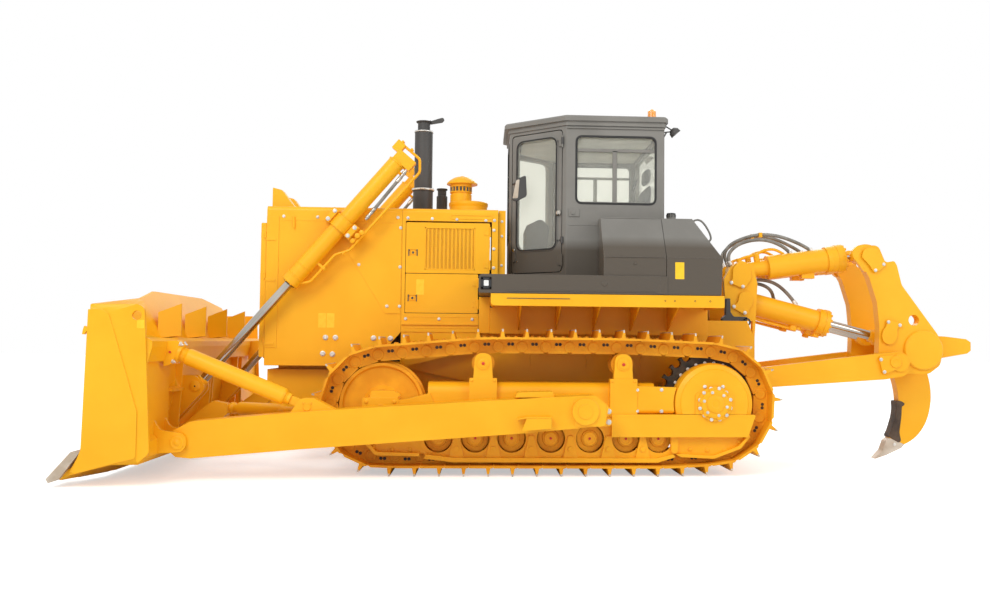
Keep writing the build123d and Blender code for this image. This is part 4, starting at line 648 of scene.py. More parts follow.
# headlamp: two cheeks and a sloping cover
for near, far in ((230, 242), (388, 400)):
    hoods.plates(rounded([(-3042, 2611), (-2815, 2611)] + SLOPE, 14), near, far)
hoods.plates(SLOPE[::-1] + [(-2834, 2636), (-2880, 2693), (-2956, 2795), (-3042, 2816)], 240, 390)
for _, side in SIDES:
    # pot, reflector and lens of the headlamp
    hoods.turned((-3022, side * 315, 2715), (1, 0, 0), [(0, 60), (2, 66), (44, 66), (66, 40), (70, 16)], 40)
    bowls.turned((-3012, side * 315, 2715), (-1, 0, 0), [(0, 52), (12, 58), (19, 60), (19, 54), (8, 20)], 32)
    lenses.turned((-3022, side * 315, 2715), (-1, 0, 0), [(0, 53), (6, 50), (9, 36), (10, 10)], 32)
    # work lamp behind the roof
    head, aim = (1074, side * 745, 3418), (0.66, 0, -0.75)
    work_lamps.turned(head, aim, [(-44, 14), (-40, 26), (-14, 52), (22, 58), (28, 58), (28, 52), (22, 48)], 36)
    lenses.turned(head, aim, [(22, 50), (28, 44), (31, 24), (31, 6)], 32)
for (x0, z0), (x1, z1) in (((942, 3500), (1052, 3436)), ((942, 3410), (1048, 3424)), ((946, 3330), (990, 3412))):
    work_lamps.rods((x0, 745, z0), (x1, 745, z1), 7, 10)
# marker lamp let into the front end of the deck's side band
lenses.plates(rectangle(-858, 1784, -812, 1838, 8), 1355, 1358)
surround.plates(rectangle(-880, 1757, -790, 1863, 12), 1327, 1355.5)
for x0, z0, x1, z1 in ((-884, 1757, -862, 1863), (-808, 1757, -787, 1863), (-884, 1757, -787, 1779),
                       (-884, 1842, -787, 1863)):
    surround.boxes((x0, 1350, z0), (x1, 1360, z1))
bowls.make("lamp_bowls", MIRROR)
lenses.make("lamp_lenses", LENS)
surround.make("band_lamp_frames", PLASTIC, bevel=3)
work_lamps.make("work_lamps", SOOT, slot="dark_plastic")
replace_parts(hoods.make("lamp_hoods", YELLOW, bevel=2), "lamps")

UP, STACK, INTAKE = (0, 0, 1), (-1518, -100), (-1111, -150)
clamps, stack_trim, intake, opening_shades = (Piece() for _ in range(4))
clamps.turned((*STACK, 2866), UP, [(0, 118), (3, 121), (16, 121), (19, 118)], 40)
clamps.box((-1535, -236, 2870), (-1500, -214, 2882))
clamps.turned((-1518, -232, 2876), (1, 0, 0), [(-28, 5), (28, 5)], 10)
clamps.turned((*STACK, 3500), UP, [(-6, 99), (-2, 102), (4, 102), (8, 98)], 40)
stack_trim.turned((*STACK, 3605), UP, [(0, 80), (4, 84), (10, 84), (12, 78)], 36)
stack_trim.turned((-1450, -132, 3612), (0, 1, 0), [(0, 13), (64, 13)], 16)
stack_trim.turned((*STACK, 2614), UP, [(0, 128), (8, 128), (10, 122)], 40)
stack_trim.turned((-1330, 250, 2614), UP, [(0, 92), (8, 92), (10, 86)], 32)
for place in circle_of(STACK, 119, 6):
    stack_trim.bolt((*place, 2622), UP, 8)
# cage of the pre-cleaner: bars, with dark stubs between them as painted shade in the openings
for place in circle_of(INTAKE, 109, 18):
    intake.turned((*place, 2850), UP, [(0, 7), (52, 7)], 6)
for place in circle_of(INTAKE, 107.2, 18, pi / 18):
    opening_shades.turned((*place, 2856), UP, [(0, 11), (40, 11)], 8)
intake.turned((*INTAKE, 2838), UP, [(0, 116), (3, 119), (9, 119), (12, 116)], 40)
intake.turned((-1030, -150, 2733), UP, [(0, 130), (6, 126), (8, 118)], 40)
intake.turned((-1099, -150, 3015), UP, [(0, 24), (6, 22), (9, 14)], 24)
clamps.make("stack_clamps", ZINC)
stack_trim.make("stack_trim", SOOT, slot="exhaust_black")
intake.make("intake_trim", YELLOW)
opening_shades.make("intake_opening_shades", SOOT)

# -------- blade lift cylinders

YOKE, EYE, LIFT_ROW = Vector((-2275, 0, 2419)), Vector((-3647, 0, 800)), 750
DOWN = (EYE - YOKE).normalized()
ASIDE = Vector((-DOWN.z, 0, DOWN.x))


def by_cylinder(distance, aside, y):
    """Point at a distance from the yoke towards the rod's eye, and to the lower rear side."""
    place = YOKE + DOWN * distance + ASIDE * aside
    return Vector((place.x, y, place.z))


for side_name, side in SIDES:
    body, y, out = f"lift_barrel_{side_name}", side * LIFT_ROW, (0, side, 0)
    heads, bands, line, ends, scraper, swivel = (Piece() for _ in range(6))
    for aside in (-129, 129):
        for distance in (-52, 52):
            heads.bolt(by_cylinder(distance, aside, y + side * 62), out, 17)
    # bands of the barrel, fittings of its head and bolts of its gland
    for distance, radius in ((-822, 90), (-60, 104), (60, 104), (560, 88), (690, 95)):
        band = [(-5, radius - 5), (-2, radius), (8, radius), (12, radius - 5), (12, radius - 14), (-5, radius - 14),
                (-5, radius - 5)]
        bands.turned(by_cylinder(distance, 0, y), DOWN, band, 40)
    for aside, spread in ((-88, 26), (-88, -26), (30, 26), (30, -26)):
        bands.turned(by_cylinder(-1012, aside, y + spread), -DOWN, [(-1, 14), (16, 14), (20, 10)], 10)
    for across_y, aside in circle_of((y, 0), 84, 8, pi / 8):
        bands.bolt(by_cylinder(781, aside, across_y), DOWN, 9)
    for distance, aside in ((-830, 90), (-760, 100), (210, 205), (452, 160)):
        bands.turned(by_cylinder(distance, aside, y), DOWN, [(-14, 22), (14, 22)], 6)
    # pressure line beside the barrel: sleeve, steel ends and screwed ferrules
    near, far = by_cylinder(-800, 128, y + side * 25), by_cylinder(-205, 150, y + side * 25)
    route = far - near
    line.turned(near, route, [(100, 17), (route.length - 100, 17)], 18)
    ferrule = [(-20, 15), (0, 15), (0, 23), (26, 23), (26, 17), (58, 17), (58, 21), (124, 21), (128, 18)]
    for start, direction in ((near, route), (far, -route)):
        ends.turned(start, direction, ferrule, 18)
    scraper.turned(by_cylinder(784, 0, y), DOWN, [(-2, 62), (10, 62), (13, 52)], 32)
    # swivel joints at the yoke
    for distance, aside, depth in ((-60, 205, 0), (-10, 196, 18), (60, 190, 0)):
        swivel.turned(by_cylinder(distance, aside, y + side * depth), out, [(-30, 26), (30, 26), (34, 20)], 20)
    swivel.rod(by_cylinder(-60, 205, y), by_cylinder(60, 190, y), 17)
    for piece, name, look in ((heads, "yoke_bolts", ZINC), (bands, "barrel_trim", YELLOW),
                              (line, "pressure_line", RUBBER), (ends, "line_ferrules", STEEL),
                              (scraper, "rod_seal", SEAL), (swivel, "yoke_swivel", YELLOW)):
        piece.make(f"{name}_{side_name}", look, body)

# -------- blade and its arms

edge_bolts, clevis_pins, fittings, arm_bolts, brace_seals, brace_plugs = (Piece() for _ in range(6))
for index in range(26):
    y = -1270 + 2540 * index / 25
    edge_bolts.turned((-4192, y, 146), (-0.78, 0, 0.62), [(-3, 15), (3, 15), (5, 10)], 12)
# keepers of the lift rod's pin, and caps of the pins in the arm's front end and in the brace
for _, side in SIDES:
    for face in (-1, 1):
        start = (EYE.x, side * LIFT_ROW + face * 95, EYE.z)
        fittings.turned(start, (0, face, 0), [(-2, 52), (8, 52), (12, 46)], 28)
        clevis_pins.turned(start, (0, face, 0), [(10, 8), (14, 8), (15, 6)], 12)
    fittings.turned((-3536, side * 1382, 345), (0, -side, 0), [(0, 60), (8, 60), (11, 52)], 28)
fittings.discs((-3536, 1723, 345), [(0, 62), (5, 62), (7, 56), (7, 44), (5, 42)], 32)
fittings.discs((-3536, 1725, 345), [(2, 24), (7, 24), (9, 20)], 20)
fittings.discs((-2430, 1620, 658), [(0, 36), (4, 36), (6, 32), (6, 27), (3, 26)], 28)
# cap and ears at the arm's rear end
rear_cap = [(-36, 727), (13, 763), (60, 745), (176, 752), (262, 700), (262, 660), (262, 520), (230, 500), (15, 494),
            (-26, 510), (-10, 560), (-10, 690)]
fittings.plates(rounded(rear_cap, 22), 1676, 1690)
fittings.discs((85, 1688, 634), [(0, 122), (10, 122), (14, 116), (14, 70), (10, 67), (10, 5)], 48)
for z in (631, 533):
    ear = [(240, z - 40), (318, z - 36), (338, z), (318, z + 36), (240, z + 40)]
    fittings.plates(rounded(ear, 18), 1500, 1600)
    arm_bolts.bolts((300, 1600, z), 20)
# step on the arm's outer face
for outline, near, far in (
        ([(-544, 572), (-456, 588), (-237, 589), (-236, 578), (-456, 577), (-540, 562)], 1678, 1768),
        ([(-503, 463), (-236, 485), (-236, 589), (-456, 588)], 1752, 1764),
        ([(-544, 572), (-503, 463), (-456, 478), (-456, 588)], 1678, 1690),
        ([(-240, 485), (-232, 485), (-232, 589), (-240, 589)], 1678, 1764)):
    fittings.plates(outline, near, far)

# the brace runs down from its ball socket behind the blade to the arm
BRACE_ROW, BALL, DOWN_BRACE = 1555, (-3596, 1136), Vector((0.925, 0, -0.38))
for _, side in SIDES:
    for aside, across_y in ((84, 60), (84, -60), (-84, 60), (-84, -60)):
        place = (BALL[0] + 0.38 * aside, side * BRACE_ROW + across_y, BALL[1] + 0.925 * aside)
        arm_bolts.bolt(place, DOWN_BRACE, 19)
        arm_bolts.turned(place, DOWN_BRACE, [(0, 9), (30, 9), (32, 7)], 12)
    start = Vector((-3588, side * BRACE_ROW, 1133))
    brace_seals.turned(start + DOWN_BRACE * 34, DOWN_BRACE,
                       [(0, 64), (6, 70), (12, 64), (18, 70), (24, 64), (30, 68), (36, 62)], 32)
    brace_seals.turned(start + DOWN_BRACE * 1026, DOWN_BRACE, [(0, 56), (6, 62), (12, 54), (18, 58), (24, 52)], 32)
brace_plugs.discs((-3645, 1634, 1140), [(0, 11), (5, 11), (7, 8)], 14)


def weld(piece, points, radius=7):
    """Rippled bead along straight runs between points."""
    for start, end in zip(points, points[1:]):
        run = Vector(end) - Vector(start)
        count = 2 * max(2, int(run.length / 16))
        profile = [(run.length * index / count, radius * (1.0 if index % 2 else 0.86))
                   for index in range(count + 1)]
        piece.turned(start, run, profile, 8)


beads = Piece()
for _, side in SIDES:
    weld(beads, [(-4020, side * 2021, 1545), (-3820, side * 2021, 1300), (-3800, side * 2021, 1080)], 6)
    for y in (655, 700, 800, 845):
        weld(beads, [(-3796, side * y, 600), (-3775, side * y, 900)], 6)
for y in (-1200, -400, 400, 1200):
    for face in (-1, 1):
        weld(beads, [(-3850, y + face * 165, 1268), (-3683, y + face * 8, 1290)], 5)
for piece, name, look, bevel in (
        (edge_bolts, "edge_bolts", EDGE_STEEL, 0), (fittings, "arm_fittings", YELLOW, 2),
        (clevis_pins, "arm_pins", GREASE, 0), (arm_bolts, "arm_bolts", ZINC, 0),
        (brace_seals, "brace_seals", YELLOW, 0), (brace_plugs, "brace_plugs", RED, 0),
        (beads, "blade_welds", YELLOW, 0)):
    piece.make(name, look, BLADE, bevel=bevel)

# -------- moldboard

# low, middle and high point (x, z) of the moldboard's front curve; y from which its wings bend
# forward, y of their ends, and how far forward they come there
FACE = ((-4060, 200), (-3800, 900), (-4103, 1719))
WING_FROM, WING_TO, WING_REACH = 1350, 2020, 210
# heights between which the boxes behind the blade push through its front, rows between them, and
# an x well ahead of the front
TRIM_LOW, TRIM_HIGH, TRIM_ROWS, AHEAD = 384, 1096, 28, -4420


def face_x(z):
    """Front of the moldboard at this height: a circle's arc through its three points."""
    (ax, az), (bx, bz), (cx, cz) = FACE
    d = 2 * (ax * (bz - cz) + bx * (cz - az) + cx * (az - bz))
    a, b, c = ax * ax + az * az, bx * bx + bz * bz, cx * cx + cz * cz
    centre_x = (a * (bz - cz) + b * (cz - az) + c * (az - bz)) / d
    centre_z = (a * (cx - bx) + b * (ax - cx) + c * (bx - ax)) / d
    radius = hypot(ax - centre_x, az - centre_z)
    return centre_x + sqrt(radius ** 2 - (z - centre_z) ** 2)


def space_ahead():
    """The space ahead of the front curve, between the two heights, as an object."""
    heights = [TRIM_LOW + (TRIM_HIGH - TRIM_LOW) * step / TRIM_ROWS for step in range(TRIM_ROWS + 1)]
    section = [(face_x(z) - 1.5, z) for z in heights] + [(AHEAD, TRIM_HIGH), (AHEAD, TRIM_LOW)]
    verts = []
    for y, shift in ((-WING_TO, -WING_REACH), (-WING_FROM, 0), (WING_FROM, 0), (WING_TO, -WING_REACH)):
        verts += [((x + shift) * MM, y * MM, z * MM) for x, z in section]
    count = len(section)
    rows = [range(row * count, (row + 1) * count) for row in range(4)]
    faces = [(a[i], a[(i + 1) % count], b[(i + 1) % count], b[i]) for a, b in zip(rows, rows[1:])
             for i in range(count)] + [tuple(reversed(rows[0])), tuple(rows[3])]
    mesh = bpy.data.meshes.new("front_space")
    mesh.from_pydata(verts, [], faces)
    face_outwards(mesh)
    return bpy.data.objects.new("front_space", mesh)


def trimmed_blade():
    """The blade with what its rear boxes push through the moldboard cut off at the front curve."""
    made = bpy.data.meshes.new("blade_skin")
    shape = bmesh.new()
    shape.from_mesh(bpy.data.objects["blade"].data)
    bmesh.ops.remove_doubles(shape, verts=shape.verts, dist=1e-6)
    shape.to_mesh(made)
    shape.free()
    skin, cutter = bpy.data.objects.new("blade_skin", made), space_ahead()
    for obj in (skin, cutter):
        bpy.context.scene.collection.objects.link(obj)
    cut = skin.modifiers.new("cut", "BOOLEAN")
    cut.operation, cut.solver, cut.object = "DIFFERENCE", "EXACT", cutter
    bpy.context.view_layer.update()
    result = bpy.data.meshes.new_from_object(skin.evaluated_get(bpy.context.evaluated_depsgraph_get()))
    for obj in (skin, cutter):
        bpy.data.meshes.remove(obj.data)
    result.materials.clear()
    result.shade_smooth()
    result.set_sharp_from_angle(angle=radians(14))
    trimmed = dress("blade_trimmed", result, YELLOW, BLADE)
    even = trimmed.modifiers.new("even", "WEIGHTED_NORMAL")
    even.keep_sharp, even.weight = True, 100
    return trimmed


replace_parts(trimmed_blade(), "blade")

# -------- deck and fenders

DECK_TOP, FILLER, BESIDE_TANK = 1897, (1050, -700), 1334
deck_trim, treads, filler, tank_seams = (Piece() for _ in range(4))
# lips of the pressed panel in the side band, and anti-slip strips on the deck
deck_trim.boxes((-640, 1349, 1668), (-40, 1357, 1674))
deck_trim.boxes((-640, 1349, 1740), (800, 1357, 1745))
deck_trim.discs((287, 1350, 1818), [(0, 27), (3, 27), (5, 23)], 24)
for x in range(-860, 780, 60):
    treads.boxes((x, 900, DECK_TOP - 1), (x + 26, 1310, DECK_TOP + 3))
filler.turned((*FILLER, 2578), UP, [(0, 46), (8, 46), (12, 38)], 24)
for place in circle_of(FILLER, 46, 12):
    filler.turned((*place, 2548), UP, [(0, 5), (26, 5)], 6)
for x0, x1, z in ((905, 1400, 2074), (300, 862, 2078)):
    tank_seams.boxes((x0, BESIDE_TANK, z - 3), (x1, BESIDE_TANK + 8, z + 3))
tank_seams.rods((300, 1051, 2487), (862, 1051, 2487), 5, 8)
tank_seams.discs((580, BESIDE_TANK + 3, 2015), [(-3, 9), (8, 9), (10, 6)], 10)
deck_trim.make("deck_trim", CHARCOAL, bevel=1)
treads.make("deck_treads", SOOT, bevel=1, slot="charcoal_paint")
filler.make("filler_cap", PLASTIC)
tank_seams.make("tank_seams", CHARCOAL)

# -------- cab

CAB_HALF, POST_X = 850, -40
SLANT = Vector((-560, 470, 0)).normalized()
BEACON = (858, -640)


def on_door(along, out, z, side):
    """Point by the door: along its plane from the rear post, outwards from it, and height."""
    place = Vector((POST_X, -CAB_HALF, 0)) + SLANT * along + Vector((-SLANT.y, SLANT.x, 0)) * out
    return Vector((place.x, place.y * -side, z))


def frame_strip(piece, place, width, height, radius, wide, depth):
    """Rounded frame: place(u, v, w) gives points; wide is the strip's width and depth its height."""
    half, rise = width / 2, height / 2
    outer = rectangle(-half, -rise, half, rise, radius, 6)
    inner = rectangle(wide - half, wide - rise, half - wide, rise - wide, max(radius - wide, 2), 6)
    count = len(outer)
    verts = [place(u, v, low) for low, ring in ((0, outer), (depth, outer), (depth, inner), (0, inner))
             for u, v in ring]
    faces = []
    for row in range(4):
        a, b = row * count, (row + 1) % 4 * count
        faces += [(a + i, a + (i + 1) % count, b + (i + 1) % count, b + i) for i in range(count)]
    piece.add(verts, faces)


seals = Piece()
for _, side in SIDES:
    frame_strip(seals, lambda u, v, w: (460 + u, side * (CAB_HALF - 8 + w), 2995 + v), 826, 701, 76, 22, 12)
frame_strip(seals, lambda u, v, w: (947 + w, u, 2975 + v), 1451, 751, 76, 22, 12)
frame_strip(seals, lambda u, v, w: (-592 - w, u, 2840 + v), 611, 1051, 66, 22, 12)
seals.make("window_seals", SEAL, bevel=3)

for side_name, side in SIDES:
    door = f"cab_door_{side_name}"
    out_of_door = on_door(0, 1, 0, side) - on_door(0, 0, 0, side)
    door_seal, lock, fixings, knuckles = (Piece() for _ in range(4))
    frame_strip(door_seal, lambda u, v, w: on_door(375 + u, 2 + w, 2770 + v, side), 520, 1150, 96, 14, 10)
    for place, profile, count in (
            ((88, 10, 2560), [(0, 30), (10, 30), (16, 22), (22, 18), (24, 8)], 24),
            ((655, 14, 2210), [(0, 14), (6, 14), (8, 11)], 20), ((620, -2, 2090), [(0, 9), (5, 9), (6, 7)], 16)):
        lock.turned(on_door(*place, side), out_of_door, profile, count)
    for z in (2284, 3290):
        knuckles.rod((-82.2, side * 830.3, z - 34), (-82.2, side * 830.3, z + 34), 15, 14)
        for along in (70, 100):
            fixings.bolt(on_door(along, 14, z, side), out_of_door, 7)
    door_seal.make(f"door_seal_{side_name}", SEAL, door, bevel=2)
    lock.make(f"door_lock_{side_name}", CHROME, door)
    fixings.make(f"door_bolts_{side_name}", SOOT, door)
    knuckles.make(f"door_knuckles_{side_name}", SOOT)

guards, flasher, ribs, inside, dash = (Piece() for _ in range(5))
for low, high in (
        # sill bars and latch of the sliding side window
        ((60, 846, 2660), (866, 852, 2672)), ((424, 833, 2664), (470, 846, 3196)),
        ((60, 833, 3180), (866, 846, 3210)),
        # catch that holds the open door
        ((-15, 846, 2519), (90, 860, 2600)), ((10, 858, 2540), (44, 870, 2572)),
        # gutter under the roof, and seam below the windows
        ((-40, 850, 3412), (950, 866, 3426)), ((-20, 849, 2430), (925, 853, 2438))):
    guards.boxes(low, high)
guards.box((955, -560, 2520), (966, 560, 2534))
flasher.turned((*BEACON, 3541), UP, [(0, 66), (5, 66), (10, 58), (14, 56)], 32)
for low, high in zip(circle_of(BEACON, 42.5, 24), circle_of(BEACON, 39.5, 24)):
    ribs.rod((*low, 3568), (*high, 3652), 2.2, 6)
# mirror, pedals and armrests inside the cab
inside.rod((-480, -120, 3380), (-480, 120, 3380), 8, 10)
inside.plate(rectangle(-110, 3300, 110, 3372, 20), -492, -470, "x")
for y in (-180, 0, 180):
    inside.plate(rectangle(-392, 1930, -352, 2060, 10), y - 42, y + 42)
inside.boxes((160, 336, 2556), (600, 464, 2600))
dash.plate([(-330, 2500), (-250, 2548), (-246, 2556), (-326, 2508)], -260, 260)
guards.make("cab_trim", CHARCOAL, bevel=2)
flasher.make("beacon_base", CHROME)
ribs.make("beacon_ribs", AMBER)
inside.make("cab_controls", PLASTIC, bevel=6)
dash.make("gauge_panel", SOOT, bevel=2)

# -------- operator's seat


def cushion(name, corners, thickness, crown, channels=()):
    """Padded form over a quadrilateral of four corners in order, with stitched channels."""
    a, b, c, d = (Vector(corner) for corner in corners)
    middle, normal, steps = (a + b + c + d) / 4, (b - a).cross(d - a).normalized(), 26
    row = steps + 1
    verts, faces = [], []
    for top in (0, 1):
        for i in range(row):
            for j in range(row):
                u, v = i / steps, j / steps
                place = a * (1 - u) * (1 - v) + b * u * (1 - v) + c * u * v + d * (1 - u) * v
                rise = (1 - abs(2 * u - 1) ** 5) * (1 - abs(2 * v - 1) ** 5)
                height = thickness * 0.5 * (1 + (rise ** 0.5 if top else -rise ** 0.5))
                if top:
                    height += crown * rise * sin(pi * u) * sin(pi * v)
                    for channel in channels:
                        height -= 11 * exp(-((u - channel) / 0.018) ** 2) * rise
                        if channel in (0.2, 0.8):
                            height -= 8 * exp(-((v - channel) / 0.018) ** 2) * rise
                inset = 1 - 0.02 * (1 - abs(2 * u - 1)) - 0.02 * (1 - abs(2 * v - 1))
                verts.append(middle + (place - middle) * inset + normal * height)
        faces += [(k, k + 1, k + row + 1, k + row) for i in range(steps) for j in range(steps)
                  for k in [(top * row + i) * row + j]]
    edge = [i * row for i in range(steps)] + [steps * row + j for j in range(steps)] \
        + [i * row + steps for i in range(steps, 0, -1)] + list(range(steps, 0, -1))
    faces += [(k, following, following + row * row, k + row * row)
              for k, following in zip(edge, edge[1:] + edge[:1])]
    piece = Piece()
    piece.add(verts, faces)
    obj = piece.make(name, FABRIC, angle=180)
    smooth = obj.modifiers.new("smooth", "SUBSURF")
    smooth.levels = smooth.render_levels = 1


base = Piece()
base.plate(rounded([(200, 1930), (560, 1930), (540, 2205), (220, 2205)], 20), -178, 178)
base.rods((380, 190, 1980), (380, 190, 2190), 26, 16)
for index in range(7):
    base.box((204, -184, 1950 + index * 36), (556, 184, 1958 + index * 36))
base.rods((770, 80, 2940), (802, 80, 3040), 9, 10)
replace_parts(base.make("seat_base", PLASTIC, bevel=3, slot="seat_fabric"), "seat")
cushion("seat_cushion", ((130, -245, 2215), (700, -245, 2215), (700, 245, 2215), (130, 245, 2215)), 125, 14,
        channels=(0.2, 0.5, 0.8))
cushion("seat_back", ((752, -230, 2352), (752, 230, 2352), (862, 222, 2965), (862, -222, 2965)), 110, 10,
        channels=(0.2, 0.35, 0.5, 0.65, 0.8))
cushion("seat_headrest", ((865, -130, 3000), (865, 130, 3000), (880, 125, 3155), (880, -125, 3155)), 78, 8)

# -------- ripper

RIPPER_TOOL, RIPPER_BEAM, CYLINDER_ROWS = "ripper_tool", "ripper_beam", (("left", -165), ("right", 165))
bracket_bolts, hose_plate, bracket_keepers, beam_keeper, beam_bolts = (Piece() for _ in range(5))
for x, z in ((1748, 1904), (1872, 1864), (1775, 1652), (1893, 1588)):
    bracket_bolts.bolts((x, 428, z), 15)
ell = [(1684, 1735), (1724, 1735), (1728, 1590), (1760, 1545), (1905, 1543), (1905, 1494), (1643, 1494),
       (1640, 1526), (1680, 1560)]
hose_plate.plates(rounded(ell, 12), 398, 474)
hose_plate.discs((1898, 462, 1489), [(0, 44), (12, 44), (12, 28), (0, 28), (0, 44)], 28)
for keeper in (
        [(1724, 1905), (1762, 1935), (1765, 2060), (1853, 2148), (1950, 2080), (1966, 1950), (1885, 1838)],
        [(1750, 1648), (1822, 1692), (1836, 1790), (1905, 1822), (1968, 1790), (1985, 1700), (1905, 1556)]):
    bracket_keepers.plates(rounded(keeper, 40), 416, 428)
keeper = [(3247, 1146), (3366, 1156), (3440, 1150), (3492, 1085), (3440, 1010), (3290, 956)]
beam_keeper.plates(rounded(keeper, 30), 598, 630)
beam_keeper.discs((3425, 630, 1085), [(0, 60), (8, 60), (12, 56), (12, 30), (8, 26), (8, 6)], 40)
for x, z in ((3270, 1112), (3305, 984)):
    beam_bolts.bolts((x, 630, z), 15)
bracket_keepers.make("bracket_keepers", YELLOW, bevel=2)
bracket_bolts.make("ripper_bolts", ZINC)
hose_plate.make("ripper_hose_plate", SOOT, bevel=1)
beam_keeper.make("beam_keeper", YELLOW, RIPPER_BEAM, bevel=2)
beam_bolts.make("beam_keeper_bolts", ZINC, RIPPER_BEAM)

carriage_bolts, bosses, shank_guard, tooth_pins = (Piece() for _ in range(4))
for x, z in ((3376, 2117), (3286, 2052), (3422, 1505), (3545, 1473)):
    carriage_bolts.bolts((x, 468, z), 15)
bosses.discs((3806, 438, 1211), [(0, 210), (22, 210), (34, 198), (34, 100)], 64)
for keeper in (
        [(3138, 2190), (3160, 2270), (3229, 2300), (3300, 2285), (3340, 2235), (3400, 2120), (3382, 2096),
         (3290, 2022), (3262, 2040), (3220, 2110)],
        [(3400, 1520), (3420, 1530), (3570, 1488), (3562, 1462), (3512, 1440), (3520, 1370), (3500, 1300),
         (3433, 1262), (3370, 1290), (3350, 1350), (3362, 1410), (3405, 1470)]):
    bosses.plates(rounded(keeper, 26), 455, 468)
# lobe of the plate round the upper pin, and bosses of the lower pin inside the plates
lobe = [(3045, 2215), (3060, 2275), (3110, 2318), (3190, 2334), (3262, 2322), (3300, 2200), (3220, 2020),
        (3160, 2050), (3120, 2115), (3070, 2170)]
bosses.plates(rounded(lobe, 30), 382, 438)
for _, side in SIDES:
    bosses.turned((3433, side * 320, 1341), (0, -side, 0), [(0, 74), (14, 74), (18, 68), (18, 36), (2, 36)], 32)
cover = [(3668, 655), (3732, 650), (3772, 622), (3760, 600), (3738, 590), (3732, 482), (3708, 310), (3727, 214),
         (3700, 196), (3582, 262), (3616, 330), (3660, 470), (3674, 560)]
shank_guard.plate(rounded(cover, 22, 3), -68, 68)
tooth_pins.discs((3655, 59, 176), [(0, 17), (4, 17), (6, 13)], 16)
carriage_bolts.make("carriage_bolts", ZINC, RIPPER_TOOL)
bosses.make("carriage_bosses", YELLOW, RIPPER_TOOL)
shank_guard.make("shank_guard", BROWN, RIPPER_TOOL, bevel=4)
tooth_pins.make("tooth_pins", ZINC, RIPPER_TOOL)

TILT, HOIST = ((1856, 2040), (3229, 2227)), ((1900, 1727), (3433, 1341))
# stubs on a barrel: distance along it, start beside its axis, profile and number of sides
PORTS = {
    "tilt_barrels": (
        (255, 70, [(0, 34), (92, 34), (98, 28)], 8), (60, 60, [(0, 30), (70, 30), (76, 24)], 12)),
    "hoist_barrels": (
        (640, -96, [(0, 46), (66, 46), (74, 38)], 8), (700, -96, [(0, 34), (40, 34), (46, 28)], 8),
        (905, -130, [(0, 38), (36, 38), (42, 30)], 8), (160, -100, [(0, 30), (38, 30), (44, 24)], 8)),
}
# feed pipes: distance along the barrel and beside it
PIPES = {
    "tilt_barrels": ((60, 120), (110, 142), (255, 150), (330, 190), (430, 196), (500, 170), (560, 122)),
    "hoist_barrels": ((160, -134), (230, -152), (560, -150), (640, -150)),
}
for body, ((x0, z0), (x1, z1)), low, high, flange, bore in (
        ("tilt_barrels", TILT, 1040, 1196, 152, 26), ("hoist_barrels", HOIST, 868, 990, 148, 53)):
    along = Vector((x1 - x0, 0, z1 - z0)).normalized()
    beside = Vector((-along.z, 0, along.x))
    gland = [(low, flange - 10), (low + 8, flange - 6), (low + 70, flange - 6), (low + 72, flange),
             (high - 6, flange), (high, flange - 6), (high, 80), (high + 6, 76), (high + 6, bore), (low, bore),
             (low, flange - 10)]
    glands, ports = Piece(), Piece()
    for name, y in CYLINDER_ROWS:
        foot = Vector((x0, y, z0))
        glands.turned(foot, along, gland, 48)
        for upward, across_y in circle_of((0, 0), flange - 24, 12, pi / 12):
            start = foot + along * (high - 2) + beside * upward + Vector((0, across_y, 0))
            glands.turned(start, along, [(0, 15), (18, 15), (20, 12)], 10)
        for distance, from_axis, profile, count in PORTS[body]:
            ports.turned(foot + along * distance + beside * from_axis, beside * from_axis, profile, count)
        if body == "tilt_barrels":
            clamp = foot + along * 800
            ports.box(clamp + Vector((-70, -45, -175)), clamp + Vector((70, 45, -110)))
        route = [foot + along * distance + beside * from_axis for distance, from_axis in PIPES[body]]
        bent_rod(f"{body}_pipe_{name}", route, 15, YELLOW, body)
    glands.make(f"{body}_glands", YELLOW, body)
    ports.make(f"{body}_ports", YELLOW, body, bevel=3)

# -------- polished rods


def rod_set(node, pins, rod_radius, eye_radius, bore, rows, start, width):
    """Rods of a node with their eyes: a smooth shaft from its start to the eye at the second pin."""
    (x0, z0), (x1, z1) = pins
    along = Vector((x1 - x0, 0, z1 - z0))
    length, half = along.length, width / 2
    shafts, eyes = Piece(), Piece()
    for y in rows:
        foot = Vector((x0, y, z0))
        shafts.turned(foot, along, [(start, rod_radius - 2), (start + 2, rod_radius),
                                    (length - eye_radius * 0.9, rod_radius)], 64)
        eyes.turned(foot, along, [(length - eye_radius - 22, rod_radius + 2),
                                  (length - eye_radius - 16, rod_radius + 16),
                                  (length - eye_radius * 0.6, rod_radius + 20)], 32)
        eyes.turned((x1, y, z1), (0, 1, 0), [(-half, bore), (-half, eye_radius - 4), (4 - half, eye_radius),
                                             (half - 4, eye_radius), (half, eye_radius - 4), (half, bore),
                                             (-half, bore)], 48)
    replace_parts(shafts.make(f"{node}_shaft", CHROME, node), node)
    eyes.make(f"{node}_eye", YELLOW, node)


for node, pins, radius, start in (("tilt_rods", TILT, 24, 560), ("hoist_rods", HOIST, 50, 508)):
    rod_set(node, pins, radius, 88, 46, [y for _, y in CYLINDER_ROWS], start, 118)
for side_name, side in SIDES:
    rod_set(f"lift_rod_{side_name}", ((YOKE.x, YOKE.z), (EYE.x, EYE.z)), 45, 74, 36, [side * LIFT_ROW], 332, 88)

# -------- hull, posts and fillers of the tractor

